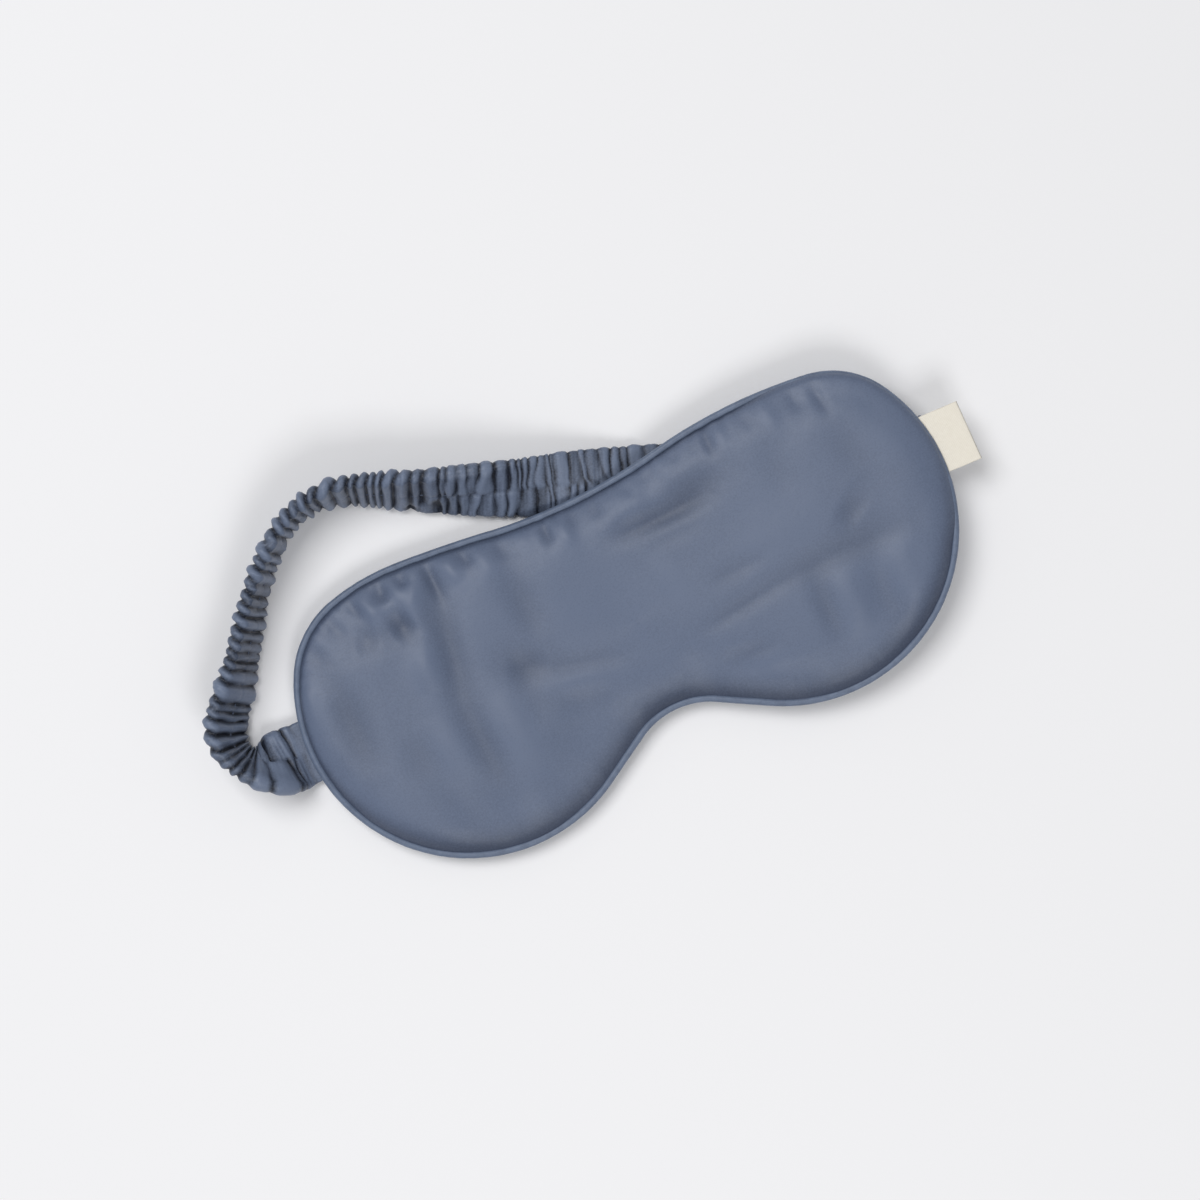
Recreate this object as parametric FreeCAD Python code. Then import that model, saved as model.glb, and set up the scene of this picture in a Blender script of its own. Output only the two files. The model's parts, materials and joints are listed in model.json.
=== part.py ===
"""Padded satin sleep mask with a ruched elastic strap and a ribbon label, as it lies on a table.

Frame: millimetres, +Z up. X runs along the mask, Y towards the forehead edge. Everything is worked
out with its origin on the table, under the middle of the nose bridge, and is then moved along X so
that the origin lies in the left half's rest face. The back (face side) of the left half lies on the table.
The right half lies on its own strap, which is folded under it, so that it is tilted about the fold
line of the bridge. Everything that the fold line crosses is made as a left and a right half.
"""
import FreeCAD
import Part

import math
import os

from FreeCAD import Matrix, Rotation, Vector

# ---- Mask outline, measured at the outside of the piping ----
MASK_LENGTH = 216.0
LOBE_TOP = 44.0            # highest point of each lobe above the X axis
LOBE_BOTTOM = 52.4         # lowest point of each lobe below the X axis
BRIDGE_TOP = 39.5          # upper edge at the middle
NOTCH_TOP = 33.6           # roof of the nose notch, below the X axis
NOTCH_RADIUS = 24.5
CHEEK_RADIUS = 54.2        # lower round of a lobe
TEMPLE_RADIUS = 28.0       # upper outer corner of a lobe
BROW_RADIUS = 168.0        # long upper edge of a lobe
BROW_IN_FROM_CHEEK = 2.0   # the brow arc's centre, outwards from the cheek arc's centre

# ---- Padding and layers, as heights from the seam plane ----
FRONT_CROWN = 5.5          # front face above the seam plane
BACK_CROWN = 5.0           # back face below the seam plane
SATIN = 0.3                # thickness of the satin
LINER_THICKNESS = 0.6
LAYER_GAP = 0.1            # clearance between neighbouring layers
ALLOWANCE = 6.0            # width of the turned-in seam allowance
# The crown's profile: (distance in from the seam line, share of the crown's rise)
CROWN_PROFILE = ((0.0, 0.0), (0.9, 0.36), (3.8, 0.70), (8.2, 0.92), (14.0, 1.0))

# ---- Piping round the edge ----
PIPING_RADIUS = 1.25
PIPING_CORD_RADIUS = 0.85
FLANGE_HALF = 0.3          # half the thickness of the piping's flange
PIPING_RISE = PIPING_RADIUS - FLANGE_HALF
SEAM_INSET = 2 * PIPING_RADIUS + 0.1

# ---- Fold at the bridge and the lie of the right half ----
FOLD_GAP = 0.3
FOLD_AXIS_ABOVE = 0.6      # fold axis above the front face
RIGHT_TILT = 5.0           # degrees

REST_X = 53.5              # middle of the left half's rest face, left of the fold line

# ---- Stitches ----
STITCH_RADIUS = 0.25
SEAM_STITCH_PITCH = 5.0
STITCH_INSET = SEAM_INSET + 2.0
TACK_RADIUS = 0.3
TACK_PITCH = 2.6
TACK_COUNT = 7

# ---- Strap ----
STRAP_Y = 4.5              # middle of the sewn ends
STRAP_WIDTH = 21.4
STRAP_THICKNESS = 5.0      # ruched tube, lying loose
STRAP_PRESSED = 2.6        # ruched tube under the mask
PRESSED_FROM = -12.0       # the strap is pressed from this x onwards
DENT_CLEARANCE = 0.3       # between the strap and the pads that lie on it
STRAP_CORNER = 0.4         # corner radius as a share of the thickness
TAIL_WIDTH = 20.0
TAIL_THICKNESS = 1.8
TAIL_DROP = 1.0            # top of the sewn tail below the seam plane
ELASTIC_WIDTH = 16.0
ELASTIC_THICKNESS = 0.8
ELASTIC_CLEARANCE = 0.1
STRAP_STITCH = (2.0, 0.4, 0.25)
STRAP_STITCH_PITCH = 3.2
# Free run of the strap on the table: x, y, and the roll of its width, in degrees, from flat to on edge.
# The x are those of a mask RUN_FOR_LENGTH long and stretch with it.
RUN_FOR_LENGTH = 216.0
STRAP_RUN = (
    (-115.2, 4.7, 22), (-119.8, 5.6, 46), (-124.0, 8.0, 66), (-127.2, 12.2, 74), (-128.3, 17.2, 69),
    (-126.6, 22.4, 65), (-123.0, 27.4, 66), (-118.3, 32.6, 69), (-112.8, 39.4, 74), (-107.2, 46.8, 77),
    (-101.6, 54.0, 81), (-95.6, 60.6, 84), (-89.3, 66.2, 86), (-82.8, 70.6, 87), (-75.8, 73.0, 85),
    (-68.2, 73.3, 80), (-60.4, 71.2, 74), (-51.4, 67.2, 69), (-40.5, 61.6, 61), (-25.4, 54.7, 49),
    (-10.0, 48.2, 33), (4.0, 42.8, 18), (18.0, 37.2, 6), (36.0, 30.2, 0), (56.0, 22.9, 0), (76.0, 15.7, 0),
)
# Fold under the right end: x from the outline, height share between table and tail, yaw of the width
STRAP_FOLD = ((-14.5, 0.02, 71), (-6.0, 0.13, 79), (-1.6, 0.44, 87), (-1.8, 0.80, 90))
FOLD_SLOPE = 0.36          # shift in Y of the folded part for each millimetre of X

# ---- Ribbon label ----
LABEL_Y = 5.4
LABEL_WIDTH = 19.4         # along the seam
LABEL_REACH = 10.6         # out of the outline
LABEL_PLY = 0.22
LABEL_GAP = 0.1            # between its two plies
LABEL_HINGE_OUT = 0.7      # flexing line outside the outline

SEAM_Z = BACK_CROWN
FRONT_Z = SEAM_Z + FRONT_CROWN
FOLD_AXIS_Z = FRONT_Z + FOLD_AXIS_ABOVE
HALF_LENGTH = MASK_LENGTH / 2 - FOLD_GAP / 2
ALLOWANCE_INSET = SEAM_INSET + ALLOWANCE
LABEL_THICKNESS = 2 * LABEL_PLY + LABEL_GAP


def circle_meeting(near, far, near_radius, far_radius):
    """The crossing of two circles on the outer side of the mask."""
    gap = far - near
    reach = (gap.Length ** 2 + near_radius ** 2 - far_radius ** 2) / (2 * gap.Length)
    height = math.sqrt(near_radius ** 2 - reach ** 2)
    along = gap * (1 / gap.Length)
    return near + along * reach + Vector(-along.y, along.x, 0) * height


class Outline:
    """The half outline of tangent arcs, with their centres, radii and shared directions."""

    def __init__(self):
        cheek = Vector(0, CHEEK_RADIUS - LOBE_BOTTOM, 0)
        brow = Vector(BROW_IN_FROM_CHEEK, LOBE_TOP - BROW_RADIUS, 0)
        temple = circle_meeting(cheek, brow, CHEEK_RADIUS - TEMPLE_RADIUS, BROW_RADIUS - TEMPLE_RADIUS)
        outermost = CHEEK_RADIUS if temple.y > cheek.y else temple.x + TEMPLE_RADIUS
        shift = Vector(HALF_LENGTH - outermost, 0, 0)
        self.cheek, self.brow, self.temple = cheek + shift, brow + shift, temple + shift
        drop = BRIDGE_TOP - self.brow.y
        spread = self.brow.x ** 2 + drop ** 2 - BROW_RADIUS ** 2
        self.bridge_radius = spread / (2 * (BROW_RADIUS - drop))
        self.bridge = Vector(0, BRIDGE_TOP + self.bridge_radius, 0)
        self.notch = Vector(0, -NOTCH_TOP - NOTCH_RADIUS, 0)
        span = self.cheek - self.notch
        radii = NOTCH_RADIUS + CHEEK_RADIUS
        flank = math.sqrt(span.Length ** 2 - radii ** 2)
        heading = math.atan2(span.y, span.x) - math.atan2(radii, flank)
        self.flank_normal = Vector(-math.sin(heading), math.cos(heading), 0)
        self.to_temple = (self.temple - self.cheek).normalize()
        self.brow_out = (self.temple - self.brow).normalize()
        self.brow_in = (self.bridge - self.brow).normalize()

    def edges(self, inset):
        """The arcs and the flank line of the half outline, moved inwards by inset."""
        north, south = Vector(0, 1, 0), Vector(0, -1, 0)
        arcs = ((self.notch, NOTCH_RADIUS + inset, north, self.flank_normal),
                (self.cheek, CHEEK_RADIUS - inset, self.flank_normal * -1, self.to_temple),
                (self.temple, TEMPLE_RADIUS - inset, self.to_temple, self.brow_out),
                (self.brow, BROW_RADIUS - inset, self.brow_out, self.brow_in),
                (self.bridge, self.bridge_radius + inset, self.brow_in * -1, south))
        edges = []
        for centre, radius, start, end in arcs:
            middle = (start + end).normalize()
            points = [centre + way * radius for way in (start, middle, end)]
            edges.append(Part.Arc(*points).toShape())
        flank = Part.makeLine(edges[0].Vertexes[-1].Point, edges[1].Vertexes[0].Point)
        return [edges[0], flank] + edges[1:]


def rim_wire(inset, z):
    """The closed half outline at height z, with its straight side on the fold line."""
    edges = OUTLINE.edges(inset)
    closing = Part.makeLine(edges[-1].Vertexes[-1].Point, edges[0].Vertexes[0].Point)
    wire = Part.Wire(edges + [closing])
    wire.translate(Vector(0, 0, z))
    return wire


def slab(inset, low, high):
    """A flat layer of the half mask."""
    return Part.Face(rim_wire(inset, low)).extrude(Vector(0, 0, high - low))


def ring(outer_inset, inner_inset, low, high):
    """A flat band that follows the half outline."""
    return slab(outer_inset, low, high).cut(slab(inner_inset, low, high))


def crown(seam_inset, start, rise):
    """A crowned layer over the half mask, from the height start, rising by rise, which may be negative."""
    wires = [rim_wire(seam_inset + inset, start + rise * share) for inset, share in CROWN_PROFILE]
    return Part.makeLoft(wires, True, True)


def half_pipe(inset, z, radius):
    """A round bead along the half outline."""
    edges = OUTLINE.edges(inset)
    spine = Part.Wire(edges)
    spine.translate(Vector(0, 0, z))
    start = edges[0].Vertexes[0].Point + Vector(0, 0, z)
    return spine.makePipe(Part.Face(Part.Wire(Part.makeCircle(radius, start, Vector(1, 0, 0)))))


OUTLINE = Outline()


# ---- The layers of one half, in the right half's flat frame, with the seam plane at z = 0 ----

def front_panel():
    """Outer satin: a crown with its allowance turned in over the piping's flange."""
    base = FLANGE_HALF + SATIN
    rise = FRONT_CROWN - base
    shell = crown(SEAM_INSET, base, rise).cut(crown(SEAM_INSET + SATIN, base - SATIN, rise))
    return shell.fuse(ring(SEAM_INSET, ALLOWANCE_INSET, FLANGE_HALF, base)).removeSplitter()


def back_crown(skin):
    """The solid body of the back pad, skin in from its outer face."""
    base = -FLANGE_HALF - SATIN
    return crown(SEAM_INSET + skin, base + skin, -(BACK_CROWN + base))


def back_allowance():
    """The back panel's turned-in seam allowance."""
    return ring(SEAM_INSET, ALLOWANCE_INSET, -FLANGE_HALF - SATIN, -FLANGE_HALF)


def blackout_liner():
    """Flat light-blocking sheet under the seam allowances."""
    top = -FLANGE_HALF - SATIN - LAYER_GAP
    return slab(SEAM_INSET + SATIN + 4 * LAYER_GAP + LINER_THICKNESS, top - LINER_THICKNESS, top)


def front_wadding():
    """Wadding between the front panel and the liner."""
    base = FLANGE_HALF + SATIN + LAYER_GAP
    skin = SATIN + LAYER_GAP
    rise = FRONT_CROWN - FLANGE_HALF - SATIN
    pad = crown(SEAM_INSET + skin, base - skin, rise).common(slab(0, base, FRONT_CROWN))
    plug = slab(ALLOWANCE_INSET + LAYER_GAP, -FLANGE_HALF - SATIN, base + LAYER_GAP)
    return pad.fuse(plug).removeSplitter()


def back_wadding_space():
    """The room for the back wadding, under the liner."""
    return slab(0, -BACK_CROWN, -FLANGE_HALF - SATIN - LINER_THICKNESS - 2 * LAYER_GAP)


def piping_cover():
    """Bias-cut satin round the piping cord, with its flange in the seam."""
    bead = half_pipe(PIPING_RADIUS, PIPING_RISE, PIPING_RADIUS)
    flange = ring(PIPING_RADIUS, ALLOWANCE_INSET, -FLANGE_HALF, FLANGE_HALF)
    hollow = half_pipe(PIPING_RADIUS, PIPING_RISE, PIPING_CORD_RADIUS + LAYER_GAP)
    return bead.fuse(flange).cut(hollow).removeSplitter()


def piping_cord():
    """Cotton filler cord inside the piping."""
    return half_pipe(PIPING_RADIUS, PIPING_RISE, PIPING_CORD_RADIUS)


def seam_stitches():
    """Lock stitches through the two allowances and the flange, all round the half."""
    line = Part.Wire(OUTLINE.edges(STITCH_INSET))
    count = int(line.Length / SEAM_STITCH_PITCH)
    reach = FLANGE_HALF + SATIN + LAYER_GAP / 2
    points = line.discretize(Number=2 * count + 1)[1::2]
    stitches = [Part.makeCylinder(STITCH_RADIUS, 2 * reach, at - Vector(0, 0, reach)) for at in points]
    return Part.makeCompound(stitches)


def tail_box(width, thickness, middle_z, grow=0.0, reach=0.0):
    """The sewn-in tail of a strap, from inside the allowance out to the outline's edge."""
    inner = HALF_LENGTH - ALLOWANCE_INSET - grow
    outer = HALF_LENGTH + reach
    corner = Vector(inner, STRAP_Y - width / 2 - grow, middle_z - thickness / 2 - grow)
    return Part.makeBox(outer - inner, width + 2 * grow, thickness + 2 * grow, corner)


TAIL_Z = -TAIL_DROP - TAIL_THICKNESS / 2
TAIL_REACH = ALLOWANCE_INSET - LAYER_GAP


def strap_slot():
    """The space that a strap's tail takes in the layers."""
    return tail_box(TAIL_WIDTH, TAIL_THICKNESS, TAIL_Z, grow=LAYER_GAP)


def strap_tack():
    """Bar tack: a row of stitches down through the allowances into the strap's tail."""
    top = FLANGE_HALF + SATIN + LAYER_GAP / 2
    bottom = TAIL_Z
    x = HALF_LENGTH - ALLOWANCE_INSET + ALLOWANCE / 3
    stitches = []
    for i in range(TACK_COUNT):
        y = STRAP_Y + (i - (TACK_COUNT - 1) / 2) * TACK_PITCH
        stitches.append(Part.makeCylinder(TACK_RADIUS, top - bottom, Vector(x, y, bottom)))
    return Part.makeCompound(stitches)


LABEL_TOP = -FLANGE_HALF
LABEL_MIDDLE = LABEL_TOP - LABEL_THICKNESS / 2
LABEL_HINGE_X = HALF_LENGTH + LABEL_HINGE_OUT


def label_block(inner, outer):
    """The folded ribbon between two x values, as one thickness."""
    corner = Vector(inner, LABEL_Y - LABEL_WIDTH / 2, LABEL_TOP - LABEL_THICKNESS)
    return Part.makeBox(outer - inner, LABEL_WIDTH, LABEL_THICKNESS, corner)


def label_tail():
    """The sewn-in end of the label, under the piping's flange, with its two plies pressed together."""
    return label_block(HALF_LENGTH - SEAM_INSET - ALLOWANCE / 2, LABEL_HINGE_X - LABEL_THICKNESS)


def label_slot():
    """The space that the label's tail takes in the back panel's allowance."""
    inner = HALF_LENGTH - SEAM_INSET - ALLOWANCE / 2 - LAYER_GAP
    size = (HALF_LENGTH - inner, LABEL_WIDTH + 2 * LAYER_GAP, LABEL_THICKNESS + LAYER_GAP)
    corner = Vector(inner, LABEL_Y - size[1] / 2, LABEL_TOP - size[2])
    return Part.makeBox(*size, corner)


def label_flap():
    """The free end of the label: two plies joined by the outer fold."""
    outer = HALF_LENGTH + LABEL_REACH
    slit_corner = Vector(LABEL_HINGE_X - 1, LABEL_Y - LABEL_WIDTH / 2 - 1, LABEL_MIDDLE - LABEL_GAP / 2)
    slit = Part.makeBox(outer - LABEL_HINGE_X + 1 - LABEL_PLY, LABEL_WIDTH + 2, LABEL_GAP, slit_corner)
    return label_block(LABEL_HINGE_X, outer).cut(slit)


# ---- From a half's flat frame to its place ----

def place_right(shape):
    """Moves a shape from the flat frame to the right half, tilted about the fold axis."""
    placed = shape.copy()
    placed.translate(Vector(FOLD_GAP / 2, 0, SEAM_Z))
    placed.rotate(Vector(0, 0, FOLD_AXIS_Z), Vector(0, 1, 0), -RIGHT_TILT)
    return placed


def place_left(shape):
    """Mirrors a shape from the flat frame to the left half, which lies flat."""
    placed = shape.copy()
    placed.translate(Vector(FOLD_GAP / 2, 0, SEAM_Z))
    return placed.mirror(Vector(0, 0, 0), Vector(1, 0, 0))


def right_point(x, y, z):
    """A point of the flat frame in the right half's place."""
    turn = Rotation(Vector(0, 1, 0), -RIGHT_TILT)
    axis = Vector(0, 0, FOLD_AXIS_Z)
    return turn.multVec(Vector(x + FOLD_GAP / 2, y, z + SEAM_Z) - axis) + axis


# ---- The strap ----

class StrapStation:
    """A cross-section of the strap: its middle, the direction of its width, its size and its heading."""

    def __init__(self, middle, width_way, width, thickness, along=None):
        self.middle = middle
        self.width_way = width_way
        self.width = width
        self.thickness = thickness
        self.along = along


def run_station(place, along, roll):
    """A section of the run on the table, rolled from flat towards its edge."""
    side = Vector(-along.y, along.x, 0).normalize()
    angle = math.radians(roll)
    thickness = STRAP_THICKNESS if place.x < PRESSED_FROM else STRAP_PRESSED
    r = STRAP_CORNER * thickness
    lift = (STRAP_WIDTH / 2 - r) * math.sin(angle) + (thickness / 2 - r) * math.cos(angle) + r
    width_way = side * math.cos(angle) + Vector(0, 0, math.sin(angle))
    return StrapStation(place + Vector(0, 0, lift), width_way, STRAP_WIDTH, thickness, along)


def strap_stations():
    """The strap's sections, from the left tail round the loop and under the mask to the right tail."""
    out = HALF_LENGTH + FOLD_GAP / 2
    tail_z = SEAM_Z + TAIL_Z
    south, north, west = Vector(0, -1, 0), Vector(0, 1, 0), Vector(-1, 0, 0)
    stations = [
        StrapStation(Vector(TAIL_REACH - out, STRAP_Y, tail_z), south, TAIL_WIDTH, TAIL_THICKNESS, west),
        StrapStation(Vector(-out, STRAP_Y, tail_z), south, TAIL_WIDTH, TAIL_THICKNESS, west),
        StrapStation(Vector(-out - 3.2, STRAP_Y, tail_z), south, TAIL_WIDTH + 0.6, 2.8, west),
    ]
    stretch = MASK_LENGTH / RUN_FOR_LENGTH
    run = [Vector(x * stretch, y, 0) for x, y, _ in STRAP_RUN]
    plan = Part.BSplineCurve()
    plan.interpolate([Vector(-out, STRAP_Y, 0)] + run)
    for place, (_, _, roll) in zip(run, STRAP_RUN):
        stations.append(run_station(place, plan.tangent(plan.parameter(place))[0], roll))
    high = right_point(HALF_LENGTH, 0, TAIL_Z)
    low = STRAP_PRESSED / 2
    for from_rim, share, yaw in STRAP_FOLD:
        angle = math.radians(yaw)
        y = STRAP_Y - (1 - share) * FOLD_SLOPE * from_rim
        middle = Vector(high.x + from_rim, y, low + share * (high.z - low))
        stations.append(StrapStation(middle, Vector(math.cos(angle), math.sin(angle), 0),
                                     STRAP_WIDTH, STRAP_PRESSED if share < 0.3 else TAIL_THICKNESS))
    inward = right_point(0, STRAP_Y, TAIL_Z) - right_point(1, STRAP_Y, TAIL_Z)
    for inset in (SEAM_INSET, TAIL_REACH):
        middle = right_point(HALF_LENGTH - inset, STRAP_Y, TAIL_Z)
        stations.append(StrapStation(middle, north, TAIL_WIDTH, TAIL_THICKNESS, inward))
    return stations


def section_wire(station, along, width, thickness):
    """A rounded rectangle across the strap."""
    across = (station.width_way - along * station.width_way.dot(along)).normalize()
    up = along.cross(across).normalize()
    r = STRAP_CORNER * min(width, thickness)
    w, t = width / 2 - r, thickness / 2 - r
    half = math.sqrt(0.5) * r

    def at(x, y):
        return station.middle + across * x + up * y

    edges = []
    for sx, sy in ((1, 1), (-1, 1), (-1, -1), (1, -1)):
        side, cap, corner = at(sx * (w + r), sy * t), at(sx * w, sy * (t + r)), at(sx * (w + half), sy * (t + half))
        ends = (side, cap) if sx == sy else (cap, side)
        if edges:
            edges.append(Part.makeLine(edges[-1].Vertexes[-1].Point, ends[0]))
        edges.append(Part.Arc(ends[0], corner, ends[1]).toShape())
    edges.append(Part.makeLine(edges[-1].Vertexes[-1].Point, edges[0].Vertexes[0].Point))
    return Part.Wire(edges)


def strap_loft(stations, size):
    """A solid through all the stations; size gives the width and thickness wanted at a station."""
    middles = [station.middle for station in stations]
    line = Part.BSplineCurve()
    line.interpolate(middles)
    wires = []
    for station in stations:
        along = station.along or line.tangent(line.parameter(station.middle))[0]
        wires.append(section_wire(station, along, *size(station)))
    return Part.makeLoft(wires, True, True)


def fold_side(shape, sign):
    """The part of a shape on one side of the fold line."""
    corner = Vector(FOLD_GAP / 2 if sign > 0 else -400 - FOLD_GAP / 2, -200, -20)
    return shape.common(Part.makeBox(400, 400, 200, corner))


# ---- Assembly ----

def dents(stations):
    """The strap's room under the pads: the gap for the satin, for its inner face and for the wadding."""
    under = [s for s in stations if s.thickness == STRAP_PRESSED]
    grown = (DENT_CLEARANCE, DENT_CLEARANCE + SATIN, DENT_CLEARANCE + SATIN + LAYER_GAP)
    return [strap_loft(under, lambda s, g=gap: (s.width + 2 * g, s.thickness + 2 * g)) for gap in grown]


def back_layers(place, cuts, room):
    """The back panel and the back wadding of a half, dented where they lie on the strap."""
    satin_room, inner_room, pad_room = room
    outer = place(back_crown(0)).cut(satin_room)
    inner = place(back_crown(SATIN)).cut(inner_room)
    panel = outer.cut(inner).fuse(place(back_allowance())).removeSplitter()
    pad = place(back_crown(SATIN + LAYER_GAP).common(back_wadding_space())).cut(pad_room)
    for cut in cuts:
        panel, pad = panel.cut(place(cut)), pad.cut(place(cut))
    return panel, pad


def main():
    """Builds every piece and writes one STEP file for each."""
    os.makedirs("parts", exist_ok=True)
    stations = strap_stations()
    room = dents(stations)
    slot, ribbon_slot = strap_slot(), label_slot()
    pieces = {
        "front_panel": front_panel(),
        "front_wadding": front_wadding(),
        "piping_cover": piping_cover(),
        "piping_cord": piping_cord(),
        "seam_stitches": seam_stitches(),
        "strap_tack": strap_tack(),
    }
    nodes = {}
    for side, place, cuts in (("left", place_left, [slot]), ("right", place_right, [slot, ribbon_slot])):
        for name, shape in pieces.items():
            nodes[name + "_" + side] = place(shape)
        liner = blackout_liner()
        for cut in cuts:
            liner = liner.cut(cut)
        nodes["blackout_liner_" + side] = place(liner)
        panel, pad = back_layers(place, cuts, room)
        nodes["back_panel_" + side] = panel
        nodes["back_wadding_" + side] = pad
    nodes["label_tail"] = place_right(label_tail())
    nodes["label_flap"] = place_right(label_flap())

    core = strap_loft(stations, lambda s: (ELASTIC_WIDTH, ELASTIC_THICKNESS))
    hollow = strap_loft(stations, lambda s: (ELASTIC_WIDTH + 2 * ELASTIC_CLEARANCE,
                                             ELASTIC_THICKNESS + 2 * ELASTIC_CLEARANCE))
    sleeve = strap_loft(stations, lambda s: (s.width, s.thickness)).cut(hollow)
    for side, sign in (("left", -1), ("right", 1)):
        nodes["strap_cover_" + side] = fold_side(sleeve, sign)
        nodes["strap_elastic_" + side] = fold_side(core, sign)
    for name, shape in nodes.items():
        shape.translate(Vector(REST_X, 0, 0))
        shape.exportStep("parts/" + name + ".step")


if __name__ == "__main__":
    main()
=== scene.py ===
"""Looks of a padded satin sleep mask with a ruched elastic strap and a bare ribbon label.

The mask lies on its back on a table. Its right half is tilted by the strap that is folded under it.
All shapes are worked out in millimetres with the origin under the nose bridge, with both halves flat,
and Placement brings them to the row frame in metres.
"""

import json
import logging
import math
from dataclasses import dataclass
from enum import Enum
from typing import Callable, Iterable, Sequence

import bmesh
import bpy
import numpy as np
from mathutils import Matrix, Vector, noise
from mathutils.kdtree import KDTree

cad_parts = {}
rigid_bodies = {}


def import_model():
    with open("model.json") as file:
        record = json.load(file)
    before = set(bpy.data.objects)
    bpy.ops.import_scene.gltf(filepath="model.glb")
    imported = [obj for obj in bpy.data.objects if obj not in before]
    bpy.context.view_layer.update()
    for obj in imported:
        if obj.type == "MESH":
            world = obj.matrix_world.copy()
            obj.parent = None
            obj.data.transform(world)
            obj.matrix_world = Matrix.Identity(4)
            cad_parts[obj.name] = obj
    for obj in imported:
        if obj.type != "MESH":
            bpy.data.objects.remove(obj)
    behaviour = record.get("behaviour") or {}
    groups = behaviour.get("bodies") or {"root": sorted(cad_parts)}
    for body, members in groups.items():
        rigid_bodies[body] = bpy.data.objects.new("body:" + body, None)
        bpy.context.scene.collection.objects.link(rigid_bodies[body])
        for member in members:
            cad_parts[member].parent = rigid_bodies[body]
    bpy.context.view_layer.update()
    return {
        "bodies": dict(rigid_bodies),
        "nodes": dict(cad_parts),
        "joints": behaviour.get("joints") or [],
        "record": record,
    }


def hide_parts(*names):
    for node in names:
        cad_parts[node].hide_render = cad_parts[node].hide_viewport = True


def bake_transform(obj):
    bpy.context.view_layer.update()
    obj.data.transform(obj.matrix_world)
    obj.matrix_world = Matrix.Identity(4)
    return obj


LOG = logging.getLogger("sleep_mask")
MM = 0.001


class Body(str, Enum):
    """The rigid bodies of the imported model."""

    LEFT = "left_half"
    RIGHT = "right_half"
    LABEL = "label"


class Slot(str, Enum):
    """The record's material slots."""

    SATIN = "satin"
    WADDING = "wadding"
    LINER = "liner"
    COTTON = "cotton"
    THREAD = "thread"
    ELASTIC = "elastic"
    RIBBON = "ribbon"


# ---------------------------------------------------------------- shader maths


class Wire:
    """A socket of a shader graph, with arithmetic that adds Math nodes."""

    def __init__(self, graph: "Graph", socket: bpy.types.NodeSocket) -> None:
        """Wraps a socket.

        Args:
            graph: The graph that the socket belongs to.
            socket: The output socket.
        """
        self.graph = graph
        self.socket = socket

    def _math(self, operation: str, first: object, second: object) -> "Wire":
        """Adds one Math node."""
        return self.graph.add("ShaderNodeMath", {"operation": operation}, {0: first, 1: second})

    def __add__(self, other: object) -> "Wire":
        """Sum."""
        return self._math("ADD", self, other)

    __radd__ = __add__

    def __mul__(self, other: object) -> "Wire":
        """Product."""
        return self._math("MULTIPLY", self, other)

    def __sub__(self, other: object) -> "Wire":
        """Difference."""
        return self._math("SUBTRACT", self, other)

    def sine(self) -> "Wire":
        """Sine of the value in radians."""
        return self._math("SINE", self, 0.0)


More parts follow.
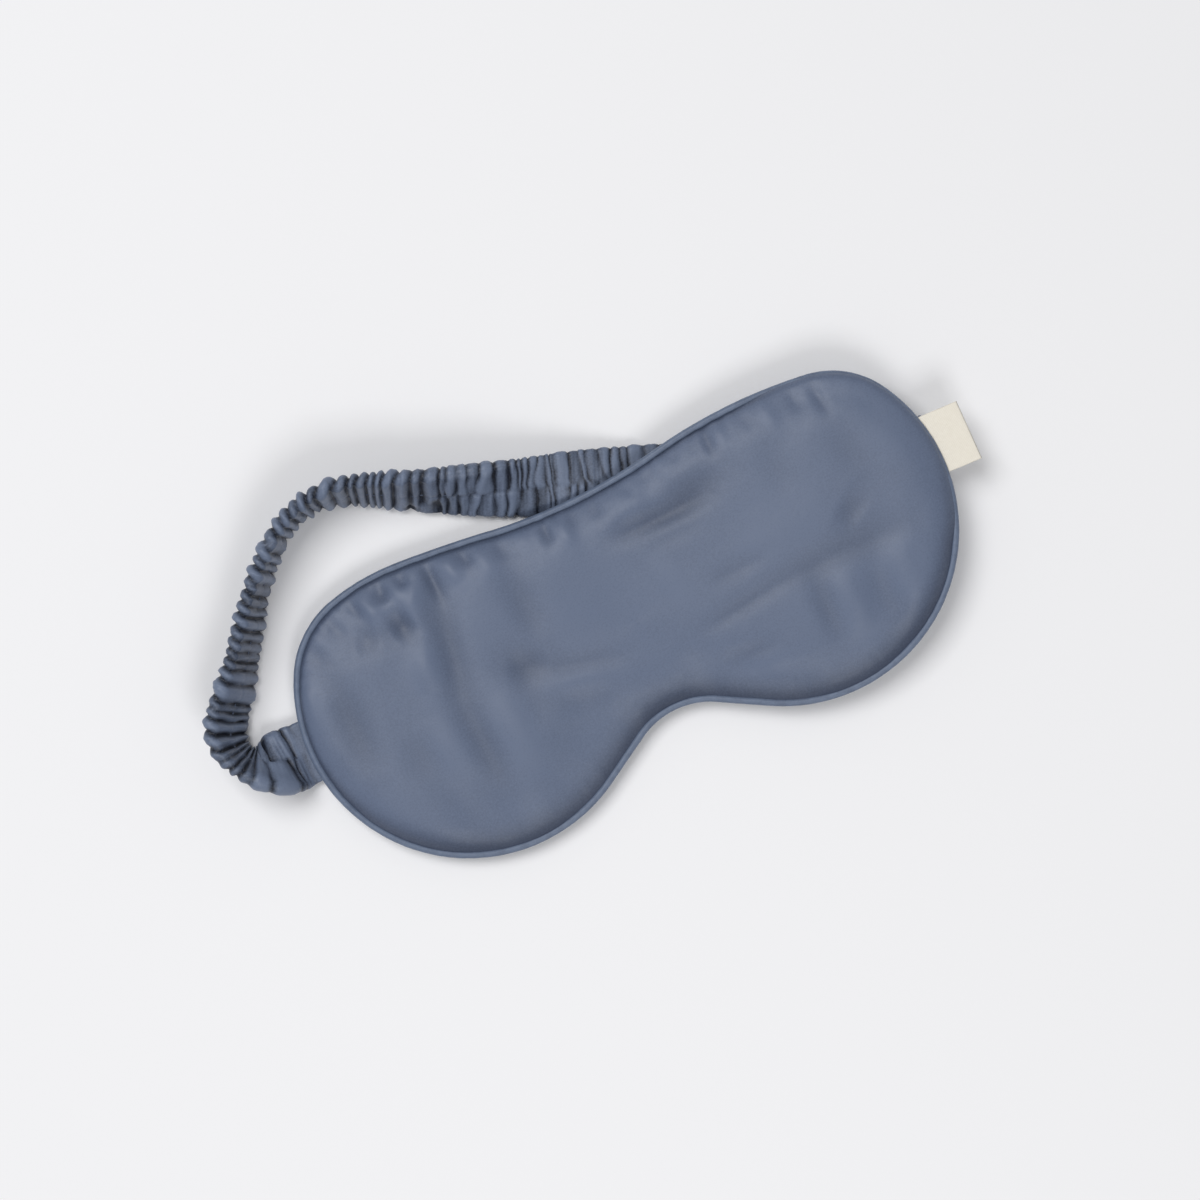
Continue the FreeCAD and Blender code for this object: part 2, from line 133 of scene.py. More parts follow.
class Graph:
    """The node tree of one material."""

    def __init__(self, name: str) -> None:
        """Starts a material with an output node.

        Args:
            name: The material's name.
        """
        self.material = bpy.data.materials.new(name)
        self.material.use_nodes = True
        self.tree = self.material.node_tree
        self.tree.nodes.clear()
        self.output = self.tree.nodes.new("ShaderNodeOutputMaterial")

    def add(self, kind: str, settings: dict | None = None, inputs: dict | None = None,
            output: int | str = 0) -> Wire:
        """Adds a node.

        Args:
            kind: The node's type name.
            settings: Properties, which are set before its sockets.
            inputs: Values or wires by socket name or number.
            output: The output socket wanted.

        Returns:
            The wanted output socket.
        """
        node = self.tree.nodes.new(kind)
        for key, value in (settings or {}).items():
            setattr(node, key, value)
        for key, value in (inputs or {}).items():
            self._feed(node.inputs[key], value)
        return Wire(self, node.outputs[output])

    def _feed(self, socket: bpy.types.NodeSocket, value: object) -> None:
        """Links a wire to an input socket, or sets the socket's value."""
        if isinstance(value, Wire):
            self.tree.links.new(value.socket, socket)
        else:
            socket.default_value = value

    def coordinates(self) -> Wire:
        """The piece's own coordinates, in metres."""
        return self.add("ShaderNodeTexCoord", output="Object")

    def attribute(self, name: str) -> Wire:
        """A float attribute of the mesh."""
        return self.add("ShaderNodeAttribute", {"attribute_name": name}, output="Fac")

    def noise(self, scale: float, detail: float = 3.0, roughness: float = 0.5) -> Wire:
        """Noise between 0 and 1.

        Args:
            scale: Number of features per metre.
            detail: Number of octaves.
            roughness: Strength of the finer octaves.

        Returns:
            The noise value.
        """
        inputs = {"Vector": self.coordinates(), "Scale": scale, "Detail": detail, "Roughness": roughness}
        return self.add("ShaderNodeTexNoise", {}, inputs, "Fac")

    def blend_colour(self, amount: Wire | float, first: Sequence[float], second: Sequence[float]) -> Wire:
        """Mixes two colours.

        Args:
            amount: 0 for the first colour and 1 for the second.
            first: Linear colour.
            second: Linear colour.

        Returns:
            The mixed colour.
        """
        inputs = {"Factor": amount, "A": (*first, 1.0), "B": (*second, 1.0)}
        node = self.tree.nodes.new("ShaderNodeMix")
        node.data_type = "RGBA"
        sockets = {s.name: s for s in node.inputs if s.enabled}
        for key, value in inputs.items():
            self._feed(sockets[key], value)
        return Wire(self, next(s for s in node.outputs if s.enabled))

    def bump(self, height: Wire, strength: float, distance: float, normal: Wire | None = None) -> Wire:
        """Turns a height into a normal.

        Args:
            height: Height between 0 and 1.
            strength: Share of the effect.
            distance: Height of a full step, in metres.
            normal: A normal to build on.

        Returns:
            The bent normal.
        """
        inputs: dict = {"Height": height, "Strength": strength, "Distance": distance}
        if normal is not None:
            inputs["Normal"] = normal
        return self.add("ShaderNodeBump", {}, inputs, "Normal")

    def finish(self, **sockets: object) -> bpy.types.Material:
        """Closes the graph with one Principled shader.

        Args:
            **sockets: Values or wires by the socket's name, with underscores for spaces.

        Returns:
            The material.
        """
        inputs = {key.replace("_", " "): value for key, value in sockets.items()}
        shader = self.add("ShaderNodeBsdfPrincipled", {}, inputs)
        self.tree.links.new(shader.socket, self.output.inputs["Surface"])
        return self.material


def linear(red: float, green: float, blue: float) -> tuple[float, float, float]:
    """Turns a screen colour from 0 to 255 into a linear one.

    Args:
        red: Red level.
        green: Green level.
        blue: Blue level.

    Returns:
        The linear colour.
    """
    def one(level: float) -> float:
        """Converts one channel."""
        c = level / 255.0
        return c / 12.92 if c <= 0.04045 else ((c + 0.055) / 1.055) ** 2.4

    return one(red), one(green), one(blue)


# ---------------------------------------------------------------- finishes


@dataclass(frozen=True)
class SatinFinish:
    """Washed polyester satin: a smooth face with a soft sheen, fine threads and faint slubs, and painted
    shade in its creases.
    """

    name: str
    face: tuple[float, float, float] = linear(99, 111, 135)
    # dark end of the colour: painted shade at the bottom of creases, and the dark side of the real mottling
    shade_and_mottle_dark: tuple[float, float, float] = linear(62, 71, 91)
    roughness: float = 0.47
    crumple: float = 0.1
    grain: float = 0.16

    def material(self) -> bpy.types.Material:
        """Builds the satin."""
        g = Graph(self.name)
        # the fold attribute is painted shade in creases and along seams and painted highlight on ridges;
        # cloud and threads add real mottling
        fold = g.attribute("fold")
        cloud = g.noise(45.0, 3.0)
        threads = g.noise(1700.0, 3.0, 0.7)
        shade_and_mottle = fold + (cloud - 0.5) * 0.14 + (threads - 0.5) * 0.85
        colour = g.blend_colour(shade_and_mottle, self.shade_and_mottle_dark, self.face)
        wrinkle = g.noise(130.0, 3.0, 0.5)
        normal = g.bump(wrinkle, self.crumple, 0.0012)
        normal = g.bump(threads, self.grain, 0.0002, normal)
        rough = self.roughness + (g.noise(420.0, 2.0) - 0.5) * 0.1
        return g.finish(Base_Color=colour, Roughness=rough, Normal=normal, Sheen_Weight=0.16,
                        Sheen_Roughness=0.4, Sheen_Tint=(0.75, 0.82, 1.0, 1.0), Specular_IOR_Level=0.4,
                        Anisotropic=0.25)


@dataclass(frozen=True)
class RibbonFinish:
    """Woven cotton ribbon with a visible cross weave."""

    name: str
    light: tuple[float, float, float] = linear(244, 239, 227)
    dark: tuple[float, float, float] = linear(225, 218, 204)
    pitch: float = 0.00042

    def material(self) -> bpy.types.Material:
        """Builds the ribbon."""
        g = Graph(self.name)
        split = g.tree.nodes.new("ShaderNodeSeparateXYZ")
        g.tree.links.new(g.coordinates().socket, split.inputs[0])
        x, y = Wire(g, split.outputs[0]), Wire(g, split.outputs[1])
        turn = 2 * math.pi / self.pitch
        warp = ((y * turn).sine() * 0.5 + 0.5)
        weft = ((x * turn * 0.8).sine() * 0.5 + 0.5)
        weave = warp * 0.6 + weft * 0.4
        slub = g.noise(900.0, 3.0)
        colour = g.blend_colour(weave * 0.5 + slub * 0.5, self.dark, self.light)
        normal = g.bump(weave * 0.7 + slub * 0.5, 0.5, 0.00012)
        return g.finish(Base_Color=colour, Roughness=0.85, Normal=normal, Sheen_Weight=0.2)


@dataclass(frozen=True)
class PlainFinish:
    """Matte fibre of one colour with fine mottling, for what lies inside."""

    name: str
    light: tuple[float, float, float]
    dark: tuple[float, float, float]
    scale: float = 1500.0
    roughness: float = 0.85

    def material(self) -> bpy.types.Material:
        """Builds the fibre."""
        g = Graph(self.name)
        fibre = g.noise(self.scale, 4.0, 0.6)
        colour = g.blend_colour(fibre, self.dark, self.light)
        return g.finish(Base_Color=colour, Roughness=self.roughness, Normal=g.bump(fibre, 0.4, 0.0003))


@dataclass(frozen=True)
class Finishes:
    """The finishes of the whole mask."""

    satin: SatinFinish = SatinFinish("slate_satin")
    # the strap's tones run from painted shade at the bottom of its gathers to a lighter face, a painted
    # highlight, on their ridges
    strap: SatinFinish = SatinFinish("ruched_satin", face=linear(110, 122, 145), shade_and_mottle_dark=linear(19, 24, 37),
                                     crumple=0.2)
    piping: SatinFinish = SatinFinish("bias_satin", face=linear(104, 117, 140), crumple=0.2)
    ribbon: RibbonFinish = RibbonFinish("cotton_ribbon")
    wadding: PlainFinish = PlainFinish("polyester_wadding", (0.82, 0.82, 0.8), (0.62, 0.62, 0.6), 700.0)
    liner: PlainFinish = PlainFinish("black_liner", (0.03, 0.03, 0.033), (0.015, 0.015, 0.017))
    cotton: PlainFinish = PlainFinish("cotton_cord", (0.72, 0.7, 0.64), (0.5, 0.48, 0.42))
    thread: PlainFinish = PlainFinish("sewing_thread", linear(110, 122, 146), linear(60, 70, 92), 4000.0, 0.5)
    elastic: PlainFinish = PlainFinish("woven_elastic", (0.75, 0.75, 0.73), (0.5, 0.5, 0.48), 2500.0)


# ---------------------------------------------------------------- outline and placing


@dataclass(frozen=True)
class Outline:
    """The mask's outline over the piping, as tangent arcs; millimetres, both halves flat.

    The cloth of the left lobe lies a little fuller at its upper edge than the pattern.
    """

    length: float = 216.0
    lobe_top: float = 44.0
    lobe_bottom: float = 52.4
    bridge_top: float = 39.5
    notch_top: float = 33.6
    notch_radius: float = 24.5
    cheek_radius: float = 54.2
    temple_radius: float = 28.0
    brow_radius: float = 168.0
    brow_in_from_cheek: float = 2.0
    full_at: float = -70.0
    full_by: float = 2.0
    full_reach: float = 20.0
    step: float = 0.6

    def half(self, inset: float = 0.0) -> np.ndarray:
        """Samples the right half from the notch round the lobe to the forehead edge.

        Args:
            inset: Distance inwards from the outline.

        Returns:
            Rows of x, y and the outward normal's x, y.
        """
        end = self.length / 2
        cheek = np.array([0.0, self.cheek_radius - self.lobe_bottom])
        brow = np.array([self.brow_in_from_cheek, self.lobe_top - self.brow_radius])
        gap = brow - cheek
        near, far = self.cheek_radius - self.temple_radius, self.brow_radius - self.temple_radius
        span = float(np.hypot(*gap))
        reach = (span ** 2 + near ** 2 - far ** 2) / (2 * span)
        along = gap / span
        temple = cheek + along * reach + np.array([-along[1], along[0]]) * math.sqrt(near ** 2 - reach ** 2)
        outermost = self.cheek_radius if temple[1] > cheek[1] else temple[0] + self.temple_radius
        shift = np.array([end - outermost, 0.0])
        cheek, brow, temple = cheek + shift, brow + shift, temple + shift
        drop = self.bridge_top - brow[1]
        bridge_radius = (brow[0] ** 2 + drop ** 2 - self.brow_radius ** 2) / (2 * (self.brow_radius - drop))
        bridge = np.array([0.0, self.bridge_top + bridge_radius])
        notch = np.array([0.0, -self.notch_top - self.notch_radius])
        reach_to = cheek - notch
        radii = self.notch_radius + self.cheek_radius
        flank = math.sqrt(float(reach_to @ reach_to) - radii ** 2)
        heading = math.atan2(reach_to[1], reach_to[0]) - math.atan2(radii, flank)
        a0 = heading + math.pi / 2
        a1 = math.atan2(*(temple - cheek)[::-1])
        a2 = math.atan2(*(temple - brow)[::-1])
        a3 = math.atan2(*(bridge - brow)[::-1])
        arcs = ((notch, self.notch_radius, -1, math.pi / 2, a0),
                (cheek, self.cheek_radius, 1, a0 - math.pi, a1),
                (temple, self.temple_radius, 1, a1, a2),
                (brow, self.brow_radius, 1, a2, a3),
                (bridge, bridge_radius, -1, a3 + math.pi, 1.5 * math.pi))
        rows: list[np.ndarray] = []
        for index, (centre, radius, sign, first, last) in enumerate(arcs):
            turn = (last - first + math.pi) % (2 * math.pi) - math.pi
            count = max(4, int(abs(turn) * radius / self.step))
            angles = first + turn * np.arange(count + 1) / count
            ways = np.stack([np.cos(angles), np.sin(angles)], 1)
            rows.append(np.hstack([centre + ways * (radius - sign * inset), ways * sign]))
            if index == 0:
                count = int(flank / self.step)
                start = rows[0][-1]
                way = [math.cos(heading), math.sin(heading)]
                line = start[:2] + np.outer(np.arange(1, count) / count, way) * flank
                rows.append(np.hstack([line, np.tile(start[2:], (len(line), 1))]))
        return np.vstack([rows[0]] + [r[1:] if i != 1 else r for i, r in enumerate(rows[1:])])

    def loop(self, count: int, inset: float = 0.0) -> np.ndarray:
        """Samples the whole outline at even spacing, from the notch round the right lobe.

        Args:
            count: Number of points.
            inset: Distance inwards from the outline.

        Returns:
            Rows of x, y and the outward normal's x, y.
        """
        right = self.half(inset)
        left = right[::-1][1:-1] * np.array([-1.0, 1.0, -1.0, 1.0])
        closed = np.vstack([right, left, right[:1]])
        lengths = np.concatenate([[0.0], np.cumsum(np.hypot(*np.diff(closed[:, :2], axis=0).T))])
        at = np.arange(count) / count * lengths[-1]
        rows = np.stack([np.interp(at, lengths, closed[:, k]) for k in range(4)], 1)
        swell = np.exp(-((rows[:, 0] - self.full_at) / self.full_reach) ** 2)
        rows[:, 1] += self.full_by * swell * np.clip(rows[:, 1] / 30.0, 0.0, 1.0)
        return rows


@dataclass(frozen=True)
class Placement:
    """How flat millimetres become the row frame: the right half's tilt, then the move to the origin."""

    fold_z: float = 11.1
    tilt: float = 5.0
    ease: float = 9.0
    shift: float = 53.5

    def place(self, points: np.ndarray) -> np.ndarray:
        """Places flat points.

        Args:
            points: Rows of x, y, z in millimetres.

        Returns:
            Rows of x, y, z in metres, in the row frame.
        """
        t = np.clip((points[:, 0] + self.ease) / (2 * self.ease), 0.0, 1.0)
        angle = np.radians(self.tilt) * t * t * (3 - 2 * t)
        x, z = points[:, 0], points[:, 2] - self.fold_z
        out = points.copy()
        out[:, 0] = x * np.cos(angle) - z * np.sin(angle) + self.shift
        out[:, 2] = x * np.sin(angle) + z * np.cos(angle) + self.fold_z
        return out * MM

    def shift_only(self, points: np.ndarray) -> np.ndarray:
        """Places points that are given as they lie, without the tilt."""
        return (points + np.array([self.shift, 0.0, 0.0])) * MM


OUTLINE = Outline()
PLACEMENT = Placement()
SEAM_Z = 5.0
CLOTH_WALL = 0.3
HALF_FOLD_GAP = 0.15
ROOT_Y = 4.5


# ---------------------------------------------------------------- mesh helpers


def coordinates(mesh: bpy.types.Mesh) -> np.ndarray:
    """The mesh's vertex positions."""
    flat = np.zeros(len(mesh.vertices) * 3, np.float32)
    mesh.vertices.foreach_get("co", flat)
    return flat.reshape(-1, 3).astype(float)


def set_coordinates(mesh: bpy.types.Mesh, points: np.ndarray) -> None:
    """Moves the mesh's vertices.

    Args:
        mesh: The mesh.
        points: One row for each vertex.
    """
    mesh.vertices.foreach_set("co", points.astype(np.float32).ravel())
    mesh.update()


def new_object(name: str, mesh: bpy.types.Mesh) -> bpy.types.Object:
    """Links a new object to the scene, at the origin."""
    obj = bpy.data.objects.new(name, mesh)
    bpy.context.scene.collection.objects.link(obj)
    return obj


def dress(obj: bpy.types.Object, material: bpy.types.Material) -> None:
    """Gives an object its one material and smooth shading.

    Args:
        obj: The piece.
        material: Its material.
    """
    obj.data.materials.clear()
    obj.data.materials.append(material)
    obj.data.polygons.foreach_set("use_smooth", [True] * len(obj.data.polygons))


def set_shade_and_tone(mesh: bpy.types.Mesh, values: np.ndarray) -> None:
    """Stores each vertex's colour share, from the dark tone at 0 to the face tone at 1: painted shade and
    highlight, and random tone on the piping.
    """
    attribute = mesh.attributes.get("fold") or mesh.attributes.new("fold", "FLOAT", "POINT")
    attribute.data.foreach_set("value", np.clip(values, 0.0, 1.0).astype(np.float32))


def tube_mesh(name: str, rings: np.ndarray, place: Callable[[np.ndarray], np.ndarray],
              closed: bool) -> bpy.types.Mesh:
    """Wraps a grid round a row of rings.

    Args:
        name: The mesh's name.
        rings: Array of ring, point and x, y, z, in millimetres.
        place: Brings rows of millimetres to the row frame.
        closed: True where the last ring meets the first; else the ends are capped.

    Returns:
        The tube.
    """
    rings = place(rings.reshape(-1, 3)).reshape(rings.shape)
    count, around = rings.shape[:2]
    bm = bmesh.new()
    bmesh.ops.create_grid(bm, x_segments=around, y_segments=count if closed else count - 1, size=0.5)
    bm.verts.ensure_lookup_table()
    order = sorted(bm.verts, key=lambda v: (round(v.co.y * 1e6), round(v.co.x * 1e6)))
    for index, vert in enumerate(order):
        row, column = divmod(index, around + 1)
        vert.co = rings[row % count, column % around]
    bmesh.ops.remove_doubles(bm, verts=bm.verts, dist=1e-7)
    if not closed:
        bmesh.ops.holes_fill(bm, edges=[e for e in bm.edges if e.is_boundary])
    bmesh.ops.recalc_face_normals(bm, faces=bm.faces)
    return mesh_of(bm, name)


def mesh_of(bm: bmesh.types.BMesh, name: str) -> bpy.types.Mesh:
    """Writes an edited mesh to a new one and frees it."""
    mesh = bpy.data.meshes.new(name)
    bm.to_mesh(mesh)
    bm.free()
    return mesh


def tree_of(points: np.ndarray) -> KDTree:
    """Sorts points for nearest-point searches."""
    tree = KDTree(len(points))
    for index, point in enumerate(points):
        tree.insert(point, index)
    tree.balance()
    return tree


def thicken(obj: bpy.types.Object, name: str, wall: float, offset: float) -> None:
    """Gives a skin its wall.

    Args:
        obj: The piece.
        name: Name of the modifier.
        wall: Thickness in millimetres.
        offset: -1 for a wall that lies inside the skin, 0 for one on both sides of it.
    """
    solidify = obj.modifiers.new(name, "SOLIDIFY")
    solidify.thickness = wall * MM
    solidify.offset = offset


def value_noise(points: np.ndarray, seed: float) -> np.ndarray:
    """Smooth noise of about -1 to 1 at rows of up to three numbers.

    Args:
        points: Rows of coordinates in noise units.
        seed: Offset that makes one noise differ from another.

    Returns:
        One value for each row.
    """
    wide = np.zeros((len(points), 3))
    wide[:, :points.shape[1]] = points
    return np.array([noise.noise(Vector((p[0] + seed, p[1] - seed, p[2] + 0.5 * seed))) for p in wide])


# ---------------------------------------------------------------- the pad's satin


@dataclass(frozen=True)
class Crease:
    """A soft valley pressed into the satin between two points; a ridge where its depth is negative."""

    start: tuple[float, float]
    end: tuple[float, float]
    depth: float
    width: float

    def depth_at(self, x: np.ndarray, y: np.ndarray) -> np.ndarray:
        """The valley's depth at points, in millimetres."""
        a, b = np.array(self.start), np.array(self.end)
        way = b - a
        t = ((x - a[0]) * way[0] + (y - a[1]) * way[1]) / float(way @ way)
        c = np.clip(t, 0.0, 1.0)
        d2 = (x - a[0] - c * way[0]) ** 2 + (y - a[1] - c * way[1]) ** 2
        taper = np.sin(np.pi * (0.08 + 0.84 * c))
        return self.depth * taper * np.exp(-d2 / (1.35 * self.width) ** 2)


def creases(*rows: tuple[float, ...]) -> tuple[Crease, ...]:
    """Makes creases from rows of the start's x and y, the end's x and y, the depth and the width."""
    return tuple(Crease(row[:2], row[2:4], row[4], row[5]) for row in rows)


BROAD_FOLDS: tuple[Crease, ...] = creases(
    # left lobe, from the outer end inwards
    (-91, 24, -92, -12, 0.9, 4.2), (-100, 26, -101, 6, -0.35, 4.0), (-68, 26, -60, 28, 1.5, 3.6),
    (-80, 28, -72, 27, 0.75, 3.4), (-72, 35, -63, 34, -0.35, 2.6), (-60, 19, -65, 4, -1.0, 3.6),
    (-50, 36, -58, -4, 1.05, 3.6), (-58, -2, -57, -32, 0.7, 3.2), (-46, -4, -46, -30, -0.6, 4.0),
    (-67, -2, -67, -26, -0.5, 4.0), (-77, -4, -77, -20, 0.4, 4.0), (-28, 30, -27, 4, 0.7, 3.8),
    (-37, -22, -38, 10, 0.35, 4.0), (-41, 1, -28, -3, 0.9, 3.6), (-32, -4, -6, -11, 0.55, 2.4),
    (-34, -14, -14, -21, 0.35, 2.8), (-33, -10, -12, -14, -0.2, 3.0),
    # bridge
    (5, 23, 38, 21.5, 1.15, 2.7), (8, 31, 26, 31, -0.3, 3.6), (24, 25, 46, 27, 0.7, 3.6),
    (14, 15, 34, 15, 0.22, 1.8), (12, 2, 22, 4, -0.3, 6.0),
    # right lobe
    (18, -15, 52, -11.5, 0.5, 2.0), (46, -11, 90, -12, 0.8, 3.6), (28, -2.5, 47, -2.5, 0.4, 1.9),
    (44, 2, 80, 4, -0.3, 5.0), (73, 2, 78, -5, 0.7, 4.6), (20, -26, 38, -28.5, 0.45, 2.0),
    (24, -33, 38, -36, -0.35, 2.4), (57, -14, 55, -36, 0.6, 2.6), (65, -16, 64, -38, -0.6, 3.6),
    (76, -20, 73, -40, 0.45, 3.4), (84, -14, 80, -34, -0.45, 4.2), (62, 30, 60, 10, 0.35, 4.4),
    (82, 26, 84, 8, 0.35, 4.4), (92, 26, 96, 4, -0.3, 5.0),
)

RIM_PUCKERS: tuple[Crease, ...] = creases(
    (-86, 41, -82, 31, 0.4, 1.6), (-77, 42, -74, 34, 0.6, 1.4), (-73, 41, -70, 32, -0.55, 1.6),
    (-66, 43, -66, 35, 0.95, 1.7), (-62, 40, -60, 34, -0.4, 1.4), (-58.5, 43, -58, 37, 0.7, 1.5),
    (-55, 38, -61, 25, -0.75, 2.1), (-50, 43, -49.5, 29, 1.0, 1.5), (-44.5, 41, -42, 31, -0.8, 1.9),
    (-39, 42, -37, 34, 0.8, 1.7), (-34, 38, -31, 28, -0.35, 1.9), (-27, 40, -26, 31, 0.4, 1.6),
    (-20, 38, -19, 31, -0.3, 1.6), (-11.5, 38, -12, 29, 0.75, 1.3), (-7, 36, -6, 26, -0.45, 1.6),
    (-2, 37, -3, 31, 0.35, 1.4), (4, 37, 5, 30, 0.35, 1.4), (16, 37, 17, 32, 0.3, 1.4),
    (24, 38, 23, 33, 0.3, 1.4), (33, 40, 34, 35, 0.3, 1.3), (40, 40, 40, 34, 0.2, 1.4),
    (45, 42, 45, 32, 0.6, 1.2), (49.5, 41, 49.5, 33, -0.3, 1.6), (58, 41, 59, 34, 0.25, 1.4),
    (65, 41, 66, 30, -0.3, 1.5), (74, 41, 75, 32, 0.35, 1.4), (81, 40, 82, 28, 0.5, 1.2),
    (-95, 33, -90, 27, 0.35, 1.8), (-104, 22, -97, 18, -0.4, 3.4),
)


@dataclass
class Pad:
    """The padded body of the mask: front and back satin, fuller along the gathered upper seam.

    Lengths are in millimetres. The profile's rows are an inset and the share of the full rise there, on a
    sloping edge and on a full one. The wall's pairs say how far inside the outline the satin stays, at
    heights over and under the seam. The puckers are spaced as if the edge were nominal_round long, which is
    more than it is. Growth and fill are shares.
    """

    finishes: Finishes
    seam_inset: float = 1.8
    front_rise: float = 5.4
    back_rise: float = 4.7
    coarse: float = 3.0
    fine: float = 1.2
    pressure: float = 3.0
    growth: float = 0.025
    cap: float = 1.3
    frames: int = 20
    overhang: float = 1.35
    fold_strength: float = 1.4
    pucker_strength: float = 1.5
    around: int = 420
    neighbours: int = 22
    outline_points: int = 1600
    held_within: float = 1.1
    nominal_round: float = 640.0
    pucker_pitch: float = 6.1
    pucker_height: float = 0.42
    wall_heights: tuple[float, ...] = (0.0, 0.95, 1.6)
    wall_insets: tuple[float, ...] = (1.65, 2.0, 2.3)
    # colour shares: a mid level, a change per millimetre of rise that paints shade in creases and highlight
    # on ridges, and painted shade along the seam
    painted_shade_level: float = 0.92
    painted_shade_per_mm: float = 0.3
    seam_shade: float = 0.95
    satin_fill: float = 0.55
    table_gap: float = 0.05
    profile: tuple[tuple[float, float, float], ...] = (
        (0.0, 0.0, 0.0), (0.4, 0.16, 0.34), (1.1, 0.32, 0.56), (2.3, 0.5, 0.69), (4.2, 0.71, 0.82),
        (8.4, 0.92, 0.95), (15.0, 0.99, 0.99), (24.0, 1.0, 1.0))

    @staticmethod
    def tuck(rows: np.ndarray) -> np.ndarray:
        """How far the front panel hangs over the bead.

        Args:
            rows: Rows of x, y and the outward normal's x, y.

        Returns:
            1 over the right end, about a half along the lower edge, and 0 along the upper one.
        """
        angle = np.degrees(np.arctan2(rows[:, 1] - 1.0, rows[:, 0] - 54.0))
        end = np.clip((angle + 40.0) / 24.0, 0.0, 1.0) * np.clip((92.0 - angle) / 30.0, 0.0, 1.0)
        low = np.clip((-rows[:, 3] - 0.1) / 0.6, 0.0, 1.0)
        return np.maximum(end * end * (3 - 2 * end), 0.5 * low * low * (3 - 2 * low))

    def block(self) -> bpy.types.Mesh:
        """Builds the closed starting shape from bridged loops."""
        bm = bmesh.new()
        count = self.around
        rings = []
        for sign, rise in ((1, self.front_rise), (-1, self.back_rise)):
            for inset, sloping, full in (self.profile if sign > 0 else self.profile[1:]):
                loop = OUTLINE.loop(count, self.seam_inset + inset)
                over = self.overhang * math.exp(-inset / 5.0) * self.tuck(loop)
                loop[:, :2] += loop[:, 2:] * (over if sign > 0 else over * math.exp(-inset))[:, None]
                plump = np.clip(0.55 + 1.1 * loop[:, 3] - 0.2 * loop[:, 2], 0.0, 1.0) if sign > 0 else 0.0
                height = SEAM_Z + sign * rise * (sloping + (full - sloping) * plump * np.ones(count))
                verts = [bm.verts.new((x, y, z)) for (x, y), z in zip(loop[:, :2], height)]
                edges = [bm.edges.new((verts[i], verts[(i + 1) % count])) for i in range(count)]
                rings.append(edges)
        front, back = rings[:len(self.profile)], rings[len(self.profile):]
        for chain in (front, [front[0]] + back):
            for first, second in zip(chain, chain[1:]):
                bmesh.ops.bridge_loops(bm, edges=first + second)
            bmesh.ops.contextual_create(bm, geom=chain[-1])
        bmesh.ops.recalc_face_normals(bm, faces=bm.faces)
        bmesh.ops.scale(bm, vec=(MM, MM, MM), verts=bm.verts)
        return mesh_of(bm, "pad_block")

    @staticmethod
    def remeshed(block: bpy.types.Mesh, name: str, voxel: float) -> bpy.types.Object:
        """Covers the starting shape with an even net of quads.

        Args:
            block: The starting shape, in metres.
            name: Name of the new object.
            voxel: Size of the net in millimetres.

        Returns:
            The evenly meshed object.
        """
        obj = new_object(name, block.copy())
        remesh = obj.modifiers.new("remesh", "REMESH")
        remesh.mode = "VOXEL"
        remesh.voxel_size = voxel * MM
        evaluated = obj.evaluated_get(bpy.context.evaluated_depsgraph_get())
        mesh = bpy.data.meshes.new_from_object(evaluated)
        obj.modifiers.clear()
        obj.data = mesh
        LOG.info("%s: %d faces", name, len(mesh.polygons))
        return obj

    def swelling(self, obj: bpy.types.Object) -> tuple[np.ndarray, np.ndarray]:
        """Inflates the closed satin while its seam is held.

        Args:
            obj: The coarse pad, in metres, flat.

        Returns:
            Where each of its points starts and how far it moves, in metres.
        """
        start = coordinates(obj.data)
        group = obj.vertex_groups.new(name="seam")
        held = [int(i) for i in np.nonzero(np.abs(start[:, 2] / MM - SEAM_Z) < self.held_within)[0]]
        group.add(held, 1.0, "REPLACE")
        modifier = obj.modifiers.new("cloth", "CLOTH")
        cloth = modifier.settings
        cloth.quality = 6
        cloth.mass = 0.12
        cloth.tension_stiffness = 18.0
        cloth.compression_stiffness = 18.0
        cloth.shear_stiffness = 6.0
        cloth.bending_stiffness = 0.25
        cloth.air_damping = 2.0
        cloth.vertex_group_mass = "seam"
        cloth.use_pressure = True
        cloth.uniform_pressure_force = self.pressure
        cloth.shrink_min = -self.growth
        cloth.effector_weights.gravity = 0.0
        modifier.collision_settings.use_collision = False
        modifier.collision_settings.use_self_collision = False
        modifier.point_cache.frame_start = 1
        modifier.point_cache.frame_end = self.frames
        scene = bpy.context.scene
        for frame in range(1, self.frames + 1):
            scene.frame_set(frame)
        evaluated = obj.evaluated_get(bpy.context.evaluated_depsgraph_get())
        step = coordinates(evaluated.data) - start
        obj.modifiers.remove(modifier)
        scene.frame_set(1)
        length = np.linalg.norm(step, axis=1, keepdims=True)
        limit = self.cap * MM
        LOG.info("satin swells by %.2f mm at most", float(length.max()) / MM)
        return start, step * np.minimum(1.0, limit / np.maximum(length, 1e-9))

    def carry(self, points: np.ndarray, start: np.ndarray, step: np.ndarray,
              reach: float = 0.0055) -> np.ndarray:
        """Moves the fine net as the coarse one moved.

        Args:
            points: The fine net's points.
            start: The coarse net's points before it swelled.
            step: How far each of them moved.
            reach: Distance over which the steps are evened out, in metres.

        Returns:
            The moved points.
        """
        tree = tree_of(start)
        moved = points.copy()
        for row, point in enumerate(points):
            near = tree.find_n(point, self.neighbours)
            weights = np.exp(-(np.array([gap for _, _, gap in near]) / reach) ** 2)
            moved[row] += weights @ step[[index for _, index, _ in near]] / weights.sum()
        return moved

